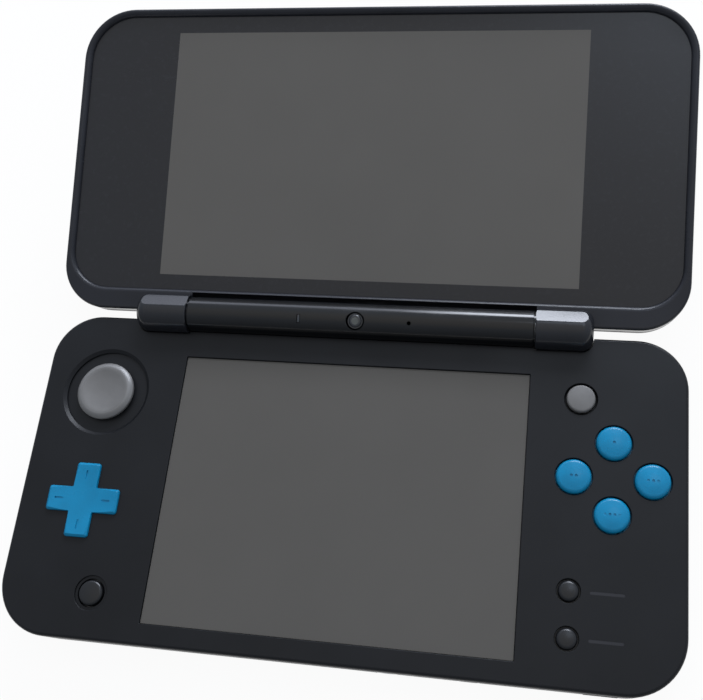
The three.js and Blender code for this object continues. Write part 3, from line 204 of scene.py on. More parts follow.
class ConsoleDetail(bpy.types.PropertyGroup):
    """How finely round shapes are divided"""
    corner_steps: count("Corner Steps", "Steps in a body corner", 16, 2)
    round_steps: count("Rounding Steps", "Steps in a rounded edge", 4, 1)
    circle_sides: count("Circle Sides", "Sides of a button", 72, 12)


def shell_sizes():
    return bpy.context.scene.console_shell


def hinge_sizes():
    return bpy.context.scene.console_hinge


def control_sizes():
    return bpy.context.scene.console_controls


def colours():
    return bpy.context.scene.console_colours


def detail_counts():
    return bpy.context.scene.console_detail


def deselect_all():
    bpy.ops.object.select_all(action="DESELECT")


def activate(piece):
    deselect_all()
    piece.select_set(True)
    bpy.context.view_layer.objects.active = piece


def place_in_mesh(piece):
    """Moves the object's place, turn and scale into its mesh."""
    activate(piece)
    bpy.ops.object.transform_apply(location=True, rotation=True, scale=True)


def put(piece, place=(0, 0, 0), turn=(0, 0, 0), scale=(1, 1, 1)):
    """Scales, turns and moves a finished shape."""
    piece.location, piece.rotation_euler, piece.scale = place, turn, scale
    place_in_mesh(piece)
    return piece


def set_on_hinge(piece, lean=REST_TILT):
    """Turns a piece that was made flat about the hinge line, and moves it there."""
    put(piece, HINGE, (lean, 0, 0))


def edit():
    bpy.ops.object.mode_set(mode="EDIT")
    bpy.ops.mesh.select_mode(type="FACE")


def leave_edit():
    bpy.ops.object.mode_set(mode="OBJECT")


def select_whole():
    bpy.ops.mesh.select_all(action="SELECT")


def pick(kind, test):
    """Selects the points or faces whose place and normal pass a test."""
    mesh = bmesh.from_edit_mesh(bpy.context.active_object.data)
    bpy.ops.mesh.select_mode(type={"verts": "VERT", "faces": "FACE"}[kind])
    bpy.ops.mesh.select_all(action="DESELECT")
    for element in getattr(mesh, kind):
        place = element.co if kind == "verts" else element.calc_center_median()
        element.select = test(place, element.normal)
    mesh.select_flush_mode()
    bmesh.update_edit_mesh(bpy.context.active_object.data)


def new_face(name, scale=(1, 1, 1)):
    """Names the primitive that was just added, and opens it in edit mode."""
    piece = bpy.context.active_object
    piece.name = name
    piece.scale = scale
    place_in_mesh(piece)
    edit()
    select_whole()
    return piece


def circle_face(name, x, y, z, radius, sides=None):
    """A flat disc, in edit mode with its face selected."""
    deselect_all()
    bpy.ops.mesh.primitive_circle_add(
        vertices=sides or detail_counts().circle_sides, radius=radius, fill_type="NGON",
        location=(x, y, z))
    return new_face(name)


def round_points(radius, steps, test):
    """Rounds the corners of a flat face whose places pass a test."""
    pick("verts", test)
    bpy.ops.mesh.bevel(offset=radius, segments=steps, affect="VERTICES")
    bpy.ops.mesh.select_mode(type="FACE")
    select_whole()


def rectangle_face(name, x_limits, y_limits, z, near=0, far=0, steps=16):
    """A flat rectangle with rounded corners, in edit mode with its face selected."""
    deselect_all()
    (x0, x1), (y0, y1) = sorted(x_limits), sorted(y_limits)
    bpy.ops.mesh.primitive_plane_add(size=1, location=((x0 + x1) / 2, (y0 + y1) / 2, z))
    piece = new_face(name, (x1 - x0, y1 - y0, 1))
    centre = (y0 + y1) / 2
    if near:
        round_points(near, steps, lambda place, normal: place.y < centre)
    if far:
        round_points(far, steps, lambda place, normal: place.y > y1 - far / 2)
    return piece


def cross_face(name, x, y, z, span, outer, inner):
    """A flat cross whose arms are a third of its span wide, in edit mode with its face selected."""
    deselect_all()
    bpy.ops.mesh.primitive_grid_add(
        x_subdivisions=3, y_subdivisions=3, size=span, location=(x, y, z))
    piece = new_face(name)
    reach, tip = span / 4, span / 2 * 0.9
    pick("faces", lambda place, normal: abs(place.x - x) > reach and abs(place.y - y) > reach)
    bpy.ops.mesh.delete(type="FACE")
    select_whole()
    bpy.ops.mesh.dissolve_limited(angle_limit=radians(1))
    round_points(
        outer, 5, lambda place, normal: max(abs(place.x - x), abs(place.y - y)) > tip)
    round_points(
        inner, 4, lambda place, normal: max(abs(place.x - x), abs(place.y - y)) < reach)
    return piece


def grow(rise):
    """Extrudes the selected face along Z."""
    bpy.ops.mesh.extrude_region_move(TRANSFORM_OT_translate={"value": (0, 0, rise)})


def turn_down():
    """Points the selected flat face down, so that what follows grows downwards."""
    bpy.ops.mesh.flip_normals()


def quarter_steps(radius, steps):
    """Run and rise of each step round a quarter circle that starts upright."""
    steps = steps or detail_counts().round_steps
    for step in range(steps):
        start = QUARTER_TURN * step / steps
        end = QUARTER_TURN * (step + 1) / steps
        yield radius * (cos(start) - cos(end)), radius * (sin(end) - sin(start))


def round_edge(radius, steps=None):
    """Insets the selected face in steps that round its edge over."""
    for run, rise in quarter_steps(radius, steps):
        bpy.ops.mesh.inset(thickness=run, depth=rise)


def flare_edge(radius):
    """Insets the selected face in steps that flare like the mouth of a hole."""
    for rise, run in quarter_steps(radius, None):
        bpy.ops.mesh.inset(thickness=run, depth=rise)


def close_piece(piece):
    """Points every face outwards and leaves edit mode."""
    select_whole()
    bpy.ops.mesh.normals_make_consistent(inside=False)
    leave_edit()
    return piece


def turned(name, profile, x=0, y=0, sides=None):
    """A body turned about Z from a list of (radius, height), which closes at its last radius."""
    (radius, height), *rest = profile
    piece = circle_face(name, x, y, height, radius, sides)
    for next_radius, next_height in rest:
        grow(next_height - height)
        if next_radius == 0:
            bpy.ops.mesh.merge(type="CENTER")
        elif next_radius != radius:
            scale = next_radius / radius
            bpy.ops.transform.resize(
                value=(scale, scale, 1), center_override=(x, y, next_height))
        radius, height = next_radius, next_height
    return close_piece(piece)


def turned_along_y(name, profile, x, y, z, sides=48):
    """A body turned about a line along +Y from a list of (radius, distance)."""
    return put(turned(name, profile, sides=sides), (x, y, z), (-QUARTER_TURN, 0, 0))


def hole_tool(start, top, rim, bottom, slope=None):
    """A cutter from a face above top that is wider than its hole by a rounded or sloping rim."""
    turn_down()
    grow(top - start.data.vertices[0].co.z)
    drop = rim
    if slope:
        drop = rim * tan(slope)
        bpy.ops.mesh.inset(thickness=rim, depth=drop)
    elif rim:
        flare_edge(rim)
    grow(bottom - (top - drop))
    return close_piece(start)


def round_hole(x, y, radius, top, rim, bottom, sides=None, slope=None):
    start = circle_face("cutter", x, y, top + OVERRUN, radius + rim, sides)
    return hole_tool(start, top, rim, bottom, slope)


def hole_from_below(x, y, radius, rim, depth, sides):
    """A cutter for a hole in the underside whose mouth is flared by rim."""
    start = circle_face("cutter", x, y, -OVERRUN, radius, sides)
    grow(OVERRUN)
    flare_edge(rim)
    grow(depth)
    return close_piece(start)


def post(name, x, y, z, height, radius, sides=None):
    """A round post that stands on a height."""
    piece = circle_face(name, x, y, z, radius, sides)
    grow(height)
    return close_piece(piece)


def around(centre, half):
    """Limits at the same distance on both sides of a centre."""
    return centre - half, centre + half


def within(low, high, margin):
    """Limits moved inwards by a margin."""
    return low + margin, high - margin


def block(x_limits, y_limits, z_limits, corner=0, name="cutter"):
    """A block, or a cutter, with rounded upright edges."""
    low, high = sorted(z_limits)
    start = rectangle_face(name, x_limits, y_limits, low, corner, corner, 5)
    grow(high - low)
    return close_piece(start)


def rod(name, radius, x_limits, y, z, sides=96):
    """A round bar along X."""
    deselect_all()
    x0, x1 = sorted(x_limits)
    bpy.ops.mesh.primitive_cylinder_add(
        vertices=sides, radius=radius, depth=x1 - x0, location=((x0 + x1) / 2, y, z),
        rotation=(0, QUARTER_TURN, 0))
    piece = bpy.context.active_object
    piece.name = name
    place_in_mesh(piece)
    return piece


def apply_modifier(piece, kind, **settings):
    activate(piece)
    bpy.ops.object.modifier_add(type=kind)
    modifier = piece.modifiers[-1]
    for name, value in settings.items():
        setattr(modifier, name, value)
    bpy.ops.object.modifier_apply(modifier=modifier.name)


def cut(piece, *tools, operation="DIFFERENCE"):
    """Cuts away what each tool covers, and deletes the tools."""
    for tool in tools:
        apply_modifier(piece, "BOOLEAN", operation=operation, solver="EXACT", object=tool)
        bpy.data.objects.remove(tool)
    return piece


def join(piece, *tools):
    return cut(piece, *tools, operation="UNION")


def keep(piece, tool):
    """Keeps only what the tool covers."""
    return cut(piece, tool, operation="INTERSECT")


def weld(piece):
    """Merges points that a cut left on top of each other."""
    activate(piece)
    edit()
    select_whole()
    bpy.ops.mesh.remove_doubles(threshold=0.002 * MM)
    leave_edit()


def soften(piece, amount, steps=2):
    """Rounds every sharp edge of a simple piece by the same amount."""
    apply_modifier(
        piece, "BEVEL", width=amount, segments=steps, limit_method="ANGLE",
        angle_limit=radians(50))


def copied(piece, name, place=(0, 0, 0), scale=(1, 1, 1)):
    """A moved or mirrored copy, with its own mesh."""
    activate(piece)
    bpy.ops.object.duplicate()
    copy = bpy.context.active_object
    copy.name = name
    return put(copy, place, scale=scale)


def finish(piece, body, slot, surface, *nodes, angle=35):
    """Smooths a piece, gives it its surface, and ties it to its body and the nodes it replaces."""
    activate(piece)
    bpy.ops.object.shade_smooth_by_angle(angle=radians(angle))
    apply_modifier(piece, "WEIGHTED_NORMAL", keep_sharp=True)
    if not piece.data.materials:
        piece.data.materials.append(surface)
    if nodes:
        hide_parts(*nodes)
    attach(piece, body)


def finish_black(piece, body, *nodes, angle=35):
    finish(piece, body, "body_black", body_plastic(), *nodes, angle=angle)


def finish_pair(right, kind):
    """Finishes a button at the right rear corner and its mirrored copy on the left."""
    left = copied(right, f"left_{kind}", scale=(-1, 1, 1))
    edit()
    close_piece(left)
    for side, piece in (("right", right), ("left", left)):
        finish_black(piece, f"{side}_{kind}_button", f"{side}_{kind}_button")


def paint(piece, first, second, test):
    """Gives a piece two materials, the second on the faces that pass a test."""
    piece.data.materials.append(first)
    piece.data.materials.append(second)
    activate(piece)
    edit()
    pick("faces", test)
    piece.active_material_index = 1
    bpy.ops.object.material_slot_assign()
    leave_edit()


def shaded(rgb, share):
    """The same colour, darker or lighter by a share."""
    return tuple(min(1, channel * share) for channel in rgb)


def add_node(tree, kind, *values, operation=None, **named):
    """A shader node whose inputs are set or linked, by their order and by name."""
    node = tree.nodes.new("ShaderNode" + kind)
    if operation:
        node.operation = operation
    inputs = [(node.inputs[name.replace("_", " ")], value) for name, value in named.items()]
    for socket, value in [*zip(node.inputs, values), *inputs]:
        if isinstance(value, bpy.types.NodeSocket):
            tree.links.new(value, socket)
        else:
            socket.default_value = value
    return node


def add_ramp(tree, factor, *stops):
    """A ramp between two stops of (position, colour)."""
    ramp = add_node(tree, "ValToRGB", factor)
    for element, (position, rgb) in zip(ramp.color_ramp.elements, stops):
        element.position = position
        element.color = (*rgb, 1)
    return ramp.outputs["Color"]


class Surface:
    """A node material read on Object coordinates."""

    def __init__(self, name):
        material = bpy.data.materials.new(name)
        material.use_nodes = True
        self.tree = material.node_tree
        self.shader = self.tree.nodes["Principled BSDF"]
        self.place = add_node(self.tree, "TexCoord").outputs["Object"]

    def link(self, source, name):
        self.tree.links.new(source, self.shader.inputs[name])

    def noise(self, scale, detail=2, stretch=(1, 1, 1)):
        place = self.place
        if stretch != (1, 1, 1):
            place = add_node(self.tree, "Mapping", place, Scale=stretch).outputs["Vector"]
        return add_node(
            self.tree, "TexNoise", place, Scale=scale, Detail=detail).outputs["Fac"]

    def cells(self, scale):
        return add_node(self.tree, "TexVoronoi", self.place, Scale=scale).outputs["Distance"]

    def blend(self, pattern, first, second, low=0.3, high=0.7):
        """Two colours mixed by a pattern that is spread between low and high."""
        self.link(add_ramp(self.tree, pattern, (low, first), (high, second)), "Base Color")

    def mottle(self, pattern, rgb, dark, light):
        """One colour, made uneven between two shares of it."""
        self.blend(pattern, shaded(rgb, dark), shaded(rgb, light))

    def roughen(self, pattern, low, high):
        spread = add_node(
            self.tree, "MapRange", pattern, From_Min=0.3, From_Max=0.7, To_Min=low, To_Max=high)
        self.link(spread.outputs["Result"], "Roughness")

    def bump(self, pattern, strength, distance):
        """Relief by a pattern, on top of any relief that is already there."""
        node = add_node(
            self.tree, "Bump", Strength=strength, Distance=distance * MM, Height=pattern)
        for link in self.shader.inputs["Normal"].links:
            self.tree.links.new(link.from_socket, node.inputs["Normal"])
        self.link(node.outputs["Normal"], "Normal")

    def set(self, **values):
        for name, value in values.items():
            self.shader.inputs[name.replace("_", " ")].default_value = value


def made_once(recipe):
    """Makes a material by a recipe under a name, and finds it again when asked once more."""
    def material(name=recipe.__name__, *settings):
        if name not in bpy.data.materials:
            recipe(Surface(name), *settings)
        return bpy.data.materials[name]
    return material


@made_once
def satin_plastic(surface, rgb, roughness, grain=2600, relief=0.12, gloss=0.25):
    """Moulded plastic with spark-eroded grain, handling marks and slightly uneven colour."""
    surface.mottle(surface.noise(55, 3), rgb, 0.86, 1.16)
    surface.roughen(surface.noise(38, 4), roughness - 0.05, roughness + 0.07)
    surface.bump(surface.noise(grain), relief, 0.02)
    surface.bump(surface.noise(140), 0.12, 0.02)
    surface.set(Specular_IOR_Level=gloss)


def body_plastic():
    return satin_plastic("body_black_satin", colours().body, 0.4)


def button_plastic():
    """Smoother black plastic of the home and menu buttons."""
    return satin_plastic("button_black_satin", shaded(colours().body, 0.85), 0.28, 2200, 0.06, 0.5)


def barrel_plastic():
    return satin_plastic("barrel_black_satin", shaded(colours().body, 0.4), 0.15, 2200, 0.05, 0.5)


def knuckle_plastic():
    """Black plastic of the lid's knuckles, worn smooth by turning, at six tenths of the lid frame
    colour: darker than the rim, which takes back much of the painted light in that colour, yet
    still lighter than the body plastic by the rest of it.
    """
    return satin_plastic(
        "knuckle_black_satin", shaded(colours().lid_frame, 0.6), 0.2, 2200, 0.06, 0.5)


# Satin plastic of the lid's rim in the lid frame colour, which carries painted light and a painted
# bluish sheen.
def lid_plastic():
    return satin_plastic("lid_black_satin", colours().lid_frame, 0.3, 2400, 0.1)


def label_ink():
    """Dull grey of the plain marks beside the menu buttons."""
    return satin_plastic("label_grey", (0.030, 0.030, 0.034), 0.45)


@made_once
def turquoise_key_plastic(surface):
    """Key plastic, smoother than the body, with finely polished crowns."""
    surface.mottle(surface.noise(220), colours().turquoise, 0.93, 1.07)
    surface.roughen(surface.noise(160, 3), 0.22, 0.30)
    surface.bump(surface.noise(1500), 0.08, 0.01)
    surface.set(Specular_IOR_Level=0.3)


@made_once
def grey_grip_plastic(surface):
    """Grip surface of the pad and the nub, with a fine pebbled texture."""
    surface.mottle(surface.noise(180, 3), colours().grey, 0.9, 1.1)
    surface.roughen(surface.noise(90), 0.42, 0.54)
    surface.bump(surface.cells(1700), 0.25, 0.02)
    surface.set(Specular_IOR_Level=0.4)


@made_once
def grey_rim_plastic(surface):
    """Smoother plastic of the pad's sloping rim, worn shiny by the thumb."""
    surface.mottle(surface.noise(180, 3), colours().grey, 0.85, 1.0)
    surface.roughen(surface.noise(90), 0.36, 0.44)
    surface.bump(surface.noise(900), 0.1, 0.01)
    surface.set(Specular_IOR_Level=1.0)


@made_once
def polished_surround(surface):
    """Polished black panel with faint wiping marks and dust."""
    rgb = colours().surround
    surface.blend(surface.noise(900), rgb, shaded(rgb, 1.5), 0.55, 0.75)
    surface.roughen(surface.noise(30, 3, (1, 4, 4)), 0.27, 0.32)
    surface.bump(surface.noise(60), 0.01, 0.02)
    surface.set(Specular_IOR_Level=0.5)


@made_once
def dark_screen(surface):
    """A switched-off screen under its cover."""
    surface.mottle(surface.noise(45), colours().upper_picture, 0.98, 1.02)
    surface.roughen(surface.noise(35, 3), 0.3, 0.38)
    surface.set(Specular_IOR_Level=0.03)


@made_once
def touch_film(surface):
    """The touch screen's film, matter than the upper panel and finely scuffed by the stylus."""
    surface.mottle(surface.noise(45), colours().picture, 0.98, 1.02)
    surface.roughen(surface.noise(700, 4, (1, 0.15, 1)), 0.36, 0.46)
    surface.bump(surface.noise(420, 2, (1, 0.12, 1)), 0.01, 0.01)
    surface.set(Specular_IOR_Level=0.03)


@made_once
def metal(surface, rgb, roughness, stretch=(1, 1, 1)):
    """Bare metal with drawn or rolled marks."""
    surface.mottle(surface.noise(260, 3, stretch), rgb, 0.85, 1.1)
    surface.roughen(surface.noise(400, 3, stretch), roughness - 0.06, roughness + 0.1)
    surface.bump(surface.noise(900, 2, stretch), 0.1, 0.01)
    surface.set(Metallic=1)


def steel():
    return metal("rolled_steel", (0.55, 0.55, 0.56), 0.32, (1, 6, 1))


def dark_steel():
    """Steel darkened as painted shade, for the parts that show through the slots."""
    return metal("blackened_steel", (0.030, 0.030, 0.032), 0.5)


@made_once
def coated_lens(surface):
    surface.blend(surface.noise(300, 1), (0.010, 0.012, 0.014), (0.022, 0.024, 0.030))
    surface.set(Roughness=0.06, Specular_IOR_Level=0.6, Coat_Weight=0.5, Coat_Roughness=0.03)


@made_once
def lens_iris(surface):
    """The iris seen through the lens."""
    surface.blend(surface.noise(500, 1), (0.075, 0.080, 0.074), (0.110, 0.116, 0.108))
    surface.set(Roughness=0.3)


@made_once
def milky_light_guide(surface):
    """Light guide of the indicator, not lit."""
    surface.blend(surface.noise(400, 1), (0.060, 0.062, 0.068), (0.085, 0.088, 0.096))
    surface.set(Roughness=0.35, Subsurface_Weight=0.2, Subsurface_Scale=0.5 * MM)


def rubber():
    return satin_plastic("silicone_sheet", (0.07, 0.07, 0.08), 0.75, 900, 0.2, 0.3)


def battery_sleeve():
    return satin_plastic("battery_sleeve", (0.14, 0.15, 0.16), 0.5, 700, 0.1, 0.4)


@made_once
def circuit_laminate(surface):
    """Green circuit board with fine tracks."""
    surface.blend(surface.cells(350), (0.006, 0.045, 0.020), (0.012, 0.085, 0.038), 0.2, 0.6)
    surface.roughen(surface.noise(200), 0.3, 0.45)
    surface.bump(surface.cells(600), 0.2, 0.03)


@made_once
def amber_flex(surface):
    """Amber flat cable."""
    surface.blend(surface.noise(500, 2, (8, 1, 1)), (0.38, 0.15, 0.02), (0.55, 0.25, 0.04))
    surface.roughen(surface.noise(150), 0.25, 0.4)


def base_face(name, z, inset=0):
    """The base's outline at a height, in edit mode with its face selected."""
    sizes = shell_sizes()
    return rectangle_face(
        name, (inset - HALF_WIDTH, HALF_WIDTH - inset), (inset - HALF_DEPTH, HALF_DEPTH - inset), z,
        sizes.front_corner - inset, sizes.rear_corner - inset, detail_counts().corner_steps)


def lid_face(name, z, inset=0):
    """The lid's outline at a height over the hinge line, in edit mode with its face selected."""
    sizes = shell_sizes()
    far = sizes.near_edge + 2 * HALF_DEPTH - inset
    return rectangle_face(
        name, (inset - HALF_WIDTH, HALF_WIDTH - inset), (sizes.near_edge + inset, far), z,
        sizes.near_corner - inset, sizes.far_corner - inset, detail_counts().corner_steps)


def recess_face(name, z, inset=0):
    """The outline of the recess round the screen panel, in edit mode with its face selected."""
    sizes = shell_sizes()
    side = HALF_WIDTH - sizes.rim_width - inset
    near = hinge_sizes().notch_radius + sizes.ridge + inset
    far = sizes.near_edge + 2 * HALF_DEPTH - sizes.rim_width - inset
    return rectangle_face(
        name, (-side, side), (near, far), z, sizes.near_corner - sizes.rim_width - inset,
        sizes.far_corner - sizes.rim_width - inset, detail_counts().corner_steps)


def base_block(name, z, height, inset):
    """A block with the base's outline."""
    piece = base_face(name, z, inset)
    grow(height)
    return close_piece(piece)


def knuckle_inner():
    return hinge_sizes().barrel_half + hinge_sizes().turn_gap


def knuckle_outer():
    return knuckle_inner() + hinge_sizes().knuckle_length


def knuckle(side, extra=0):
    """A turning knuckle with a rounded outer end, made about the hinge line and grown by extra."""
    sizes = hinge_sizes()
    radius, rounding = sizes.knuckle_radius + extra, sizes.knuckle_round + extra
    start, end = knuckle_inner() - extra, knuckle_outer() + extra
    bevel, steps = 0.2 * MM, 8
    profile = [(radius - bevel, start), (radius, start + bevel), (radius, end - rounding)]
    for step in range(1, steps + 1):
        angle = QUARTER_TURN * step / steps
        profile.append(
            (radius - rounding + rounding * cos(angle), end - rounding + rounding * sin(angle)))
    return put(turned("knuckle", profile, sides=96), turn=(0, side * QUARTER_TURN, 0))


def cut_trough(piece, extra=0):
    """Cuts the trough for the barrel and the knuckles, wider by extra."""
    sizes = hinge_sizes()
    _, y, z = HINGE
    end = sizes.barrel_half
    barrel_room, knuckle_room = 0.15 * MM, 0.25 * MM
    tools = [rod("cutter", sizes.barrel_radius + barrel_room + extra, (-end, end), y, z)]
    tools += [put(knuckle(side, knuckle_room + extra), HINGE) for side in SIDES.values()]
    return cut(piece, *tools)


def base_cavity(bottom, top, rounding=0):
    """The inside of the base, less the wall round the trough."""
    wall = shell_sizes().wall
    cavity = base_face("cutter", top, wall)
    turn_down()
    grow(bottom + rounding - top)
    if rounding:
        round_edge(rounding)
    close_piece(cavity)
    return cut_trough(cavity, wall)


def screw_places():
    for index in range(1, 5):
        spot = middle(f"cover_screw_{index}")
        yield spot.x, spot.y


def lower_window():
    """Centre and half sizes of the touch screen's window in the deck."""
    sizes = control_sizes()
    centre = middle("touch_panel")
    return centre.x, centre.y, sizes.window_width / 2, sizes.window_height / 2


def upper_shell():
    shell, controls = shell_sizes(), control_sizes()
    bottom = shell.seam + shell.seam_gap / 2
    underside = DECK - shell.wall
    piece = base_face("upper_shell", bottom)
    grow(DECK - shell.deck_edge - bottom)
    round_edge(shell.deck_edge)
    close_piece(piece)
    cut(piece, base_cavity(bottom - OVERRUN, underside))

    pad = middle("circle_pad_housing")
    root = underside + shell.wall / 2
    well_floor = DECK - controls.well_depth
    well_bottom = well_floor - shell.wall
    join(piece, post(
        "boss", pad.x, pad.y, well_bottom, root - well_bottom, controls.well_radius + shell.wall))
    cut_trough(piece)

    rim, below = controls.rim_round, underside - OVERRUN
    x, y, half_width, half_height = lower_window()
    cut(piece,
        round_hole(pad.x, pad.y, controls.well_radius, DECK, controls.well_rim, well_floor, 96,
                   EDGE_SLOPE),
        round_hole(pad.x, pad.y, controls.well_hole, well_floor, rim, well_floor - 2 * OVERRUN))
    window = rectangle_face(
        "cutter", (x - half_width - rim, x + half_width + rim),
        (y - half_height - rim, y + half_height + rim), DECK + OVERRUN, 2 * rim, 2 * rim, 4)
    cut(piece, hole_tool(window, DECK, rim, below))
    spot, corner = middle("cross_key"), controls.cross_corner
    cross = cross_face(
        "cutter", spot.x, spot.y, DECK + OVERRUN, controls.cross_span, corner, corner)
    bpy.ops.mesh.inset(thickness=controls.cross_gap + rim, use_outset=True)
    select_whole()
    bpy.ops.mesh.dissolve_limited(angle_limit=radians(1))
    cut(piece, hole_tool(cross, DECK, rim, below))
    spot = middle("home_button")
    home_hole, ring_floor = controls.home_radius + controls.clearance, DECK - 0.4 * MM
    cut(piece,
        round_hole(spot.x, spot.y, home_hole + controls.home_ring, DECK, rim, ring_floor),
        round_hole(spot.x, spot.y, home_hole, ring_floor, rim / 2, below))
    holes = {"nub_stick": controls.nub_radius + controls.nub_gap}
    holes.update(dict.fromkeys(FACE_BUTTONS, controls.face_radius + controls.clearance))
    holes.update(dict.fromkeys(MENU_BUTTONS, controls.menu_radius + controls.clearance))
    for name, radius in holes.items():
        spot = middle(name)
        cut(piece, round_hole(spot.x, spot.y, radius, DECK, rim, below))

    mark_start, mark_length, mark_half, mark_depth = 4.6 * MM, 7.6 * MM, 0.4 * MM, 0.08 * MM
    for name in MENU_BUTTONS:
        spot = middle(name)
        start = spot.x + mark_start
        cut(piece, block(
            (start, start + mark_length), around(spot.y, mark_half),
            (DECK - mark_depth, DECK + OVERRUN), 0.36 * MM))
    boss_foot, boss_radius = 6.4 * MM, 2.4 * MM
    for x, y in screw_places():
        join(piece, post("boss", x, y, boss_foot, root - boss_foot, boss_radius, 24))
        cut(piece, round_hole(x, y, SCREW_HOLE, 9.3 * MM, 0, 5 * MM, 24))
    paint(piece, body_plastic(), label_ink(), lambda place, normal:
          normal.z > 0.9 and abs(place.z - DECK + mark_depth) < 0.01 * MM)
    finish_black(piece, "base", "base_upper_shell", angle=30)


def side_block(side, inner, outer, y_limits, z_limits):
    """A block on one side of the console, between two distances from its middle."""
    return block((side * inner, side * outer), y_limits, z_limits)


def shoulder_room(side, gap):
    """The room of a shoulder button at a rear corner, wider by gap."""
    low, high = corners("right_shoulder_button")
    return side_block(
        side, low.x - gap, HALF_WIDTH + OVERRUN,
        (HALF_DEPTH - SHOULDER_DEPTH - gap, HALF_DEPTH + OVERRUN), (low.z - gap, high.z + gap))


def cut_front_edge(piece, silo_x, silo_end):
    """Cuts the openings of the stylus, the headphone jack, the card door and the power button."""
    bore, mouth, jack_hole = 2.2 * MM, 2.7 * MM, 2.8 * MM
    start = -HALF_DEPTH - OVERRUN
    bore_profile = [(bore, 0), (bore, silo_end + OVERRUN + HALF_DEPTH)]
    mouth_profile = [(3.0 * MM, 0), (mouth, OVERRUN), (mouth, OVERRUN + 2.7 * MM)]
    jack_profile = [(jack_hole, 0), (jack_hole, 2 * OVERRUN)]
    cut(piece,
        turned_along_y("cutter", bore_profile, silo_x, start, STYLUS_HEIGHT, 32),
        turned_along_y("cutter", mouth_profile, silo_x, start, STYLUS_HEIGHT, 40),
        turned_along_y(
            "cutter", jack_profile, middle("headphone_jack").x, start, JACK_HEIGHT, 40))
    low, high = corners("card_door")
    depth = (start, -HALF_DEPTH + 2 * shell_sizes().wall)
    pin, reach = 1 * MM, 1.2 * MM
    cut(piece,
        block(within(low.x, high.x, 0.7 * MM), depth, (low.z - 0.4 * MM, high.z + 0.3 * MM)),
        rod("cutter", 0.6 * MM, (low.x + pin - reach, high.x - pin + reach),
            -HALF_DEPTH + 0.7 * MM, low.z + 0.7 * MM, 24))
    low, high = corners("power_button")
    lip = 0.4 * MM
    cut(piece, block(within(low.x, high.x, lip), depth, within(low.z, high.z, lip)))


def cut_sides(piece):
    """Cuts the openings of the charging port and the volume slider."""
    room, deep = 0.3 * MM, 2 * shell_sizes().wall
    rear = (HALF_DEPTH - deep, HALF_DEPTH + OVERRUN)
    low, high = corners("charging_port")
    cut(piece, block(within(low.x, high.x, -room), rear, within(low.z, high.z, -room)))
    low, high = corners("volume_slider")
    lip, travel = 1 * MM, 3.8 * MM
    cut(piece, block(
        (-HALF_WIDTH - OVERRUN, -HALF_WIDTH + deep),
        (low.y + lip - travel, high.y - lip + travel), (low.z, high.z)))


def lower_shell():
    shell = shell_sizes()
    root = shell.wall / 2
    top = shell.seam - shell.seam_gap / 2
    piece = base_face("lower_shell", top)
    turn_down()
    grow(shell.bottom_edge - top)
    round_edge(shell.bottom_edge, 7)
    close_piece(piece)
    cut(piece, base_cavity(shell.wall, top + OVERRUN, 1.2 * MM))

    low, high = corners("stylus")
    silo_x, silo_end = (low.x + high.x) / 2, high.y + 0.3 * MM
    silo_radius = 2.8 * MM
    silo_profile = [(silo_radius, 0.6 * MM), (silo_radius, silo_end + HALF_DEPTH)]
    join(piece, turned_along_y("silo", silo_profile, silo_x, -HALF_DEPTH, STYLUS_HEIGHT, 32))
    boss_height, boss_radius, head_radius, head_depth = 6.1 * MM, 3.4 * MM, 2.5 * MM, 2.7 * MM
    for x, y in screw_places():
        join(piece, post("boss", x, y, root, boss_height - root, boss_radius, 32))
        cut(piece, hole_from_below(x, y, head_radius, 0.3 * MM, head_depth, 32),
            round_hole(x, y, SCREW_HOLE, 9 * MM, 0, 0, 24))
    cut_trough(piece)
    cut_front_edge(piece, silo_x, silo_end)
    cut_sides(piece)

    trigger_low, trigger_high = corners("right_trigger_button")
    room = 0.3 * MM
    slot_pitch, slot_half, slot_reach, slot_top = 2.4 * MM, 0.5 * MM, 4 * MM, 1.5 * MM
    for name, side in SIDES.items():
        cut(piece,
            shoulder_room(side, 0.4 * MM),
            side_block(side, trigger_low.x + room, trigger_high.x - room,
                       (HALF_DEPTH - 2 * shell.wall, HALF_DEPTH + OVERRUN),
                       (trigger_low.z, trigger_high.z + room)))
        camera = middle(f"{name}_outer_camera")
        cut(piece, hole_from_below(camera.x, camera.y, 3.3 * MM, 0.4 * MM, 2 * MM, 48))
        speaker = middle(f"{name}_speaker")
        for index in range(-2, 3):
            cut(piece, block(
                around(speaker.x + index * slot_pitch, slot_half),
                around(speaker.y, slot_reach), (-OVERRUN, slot_top), 0.45 * MM))
        join(piece, post(
            "post", side * (HALF_WIDTH - POST_FROM_SIDE), HALF_DEPTH - POST_FROM_REAR, root,
            6.0 * MM - root, 0.9 * MM, 24))
    finish_black(piece, "base", "base_lower_shell", angle=30)


class CONSOLE_OT_base_shells(bpy.types.Operator):
    """Builds the upper and the lower shell of the base"""
    bl_idname = "console.base_shells"
    bl_label = "Base Shells"

    def execute(self, context):
        upper_shell()
        lower_shell()
        return {"FINISHED"}


def flattened(piece):
    """Cuts the low flat along a knuckle's upper rear side."""
    sizes = hinge_sizes()
    end = knuckle_outer() + OVERRUN
    tool = block(
        (-end, end), (-OVERRUN, OVERRUN), (sizes.flat_height, sizes.flat_height + OVERRUN))
    return cut(piece, put(tool, turn=(-sizes.flat_lean, 0, 0)))


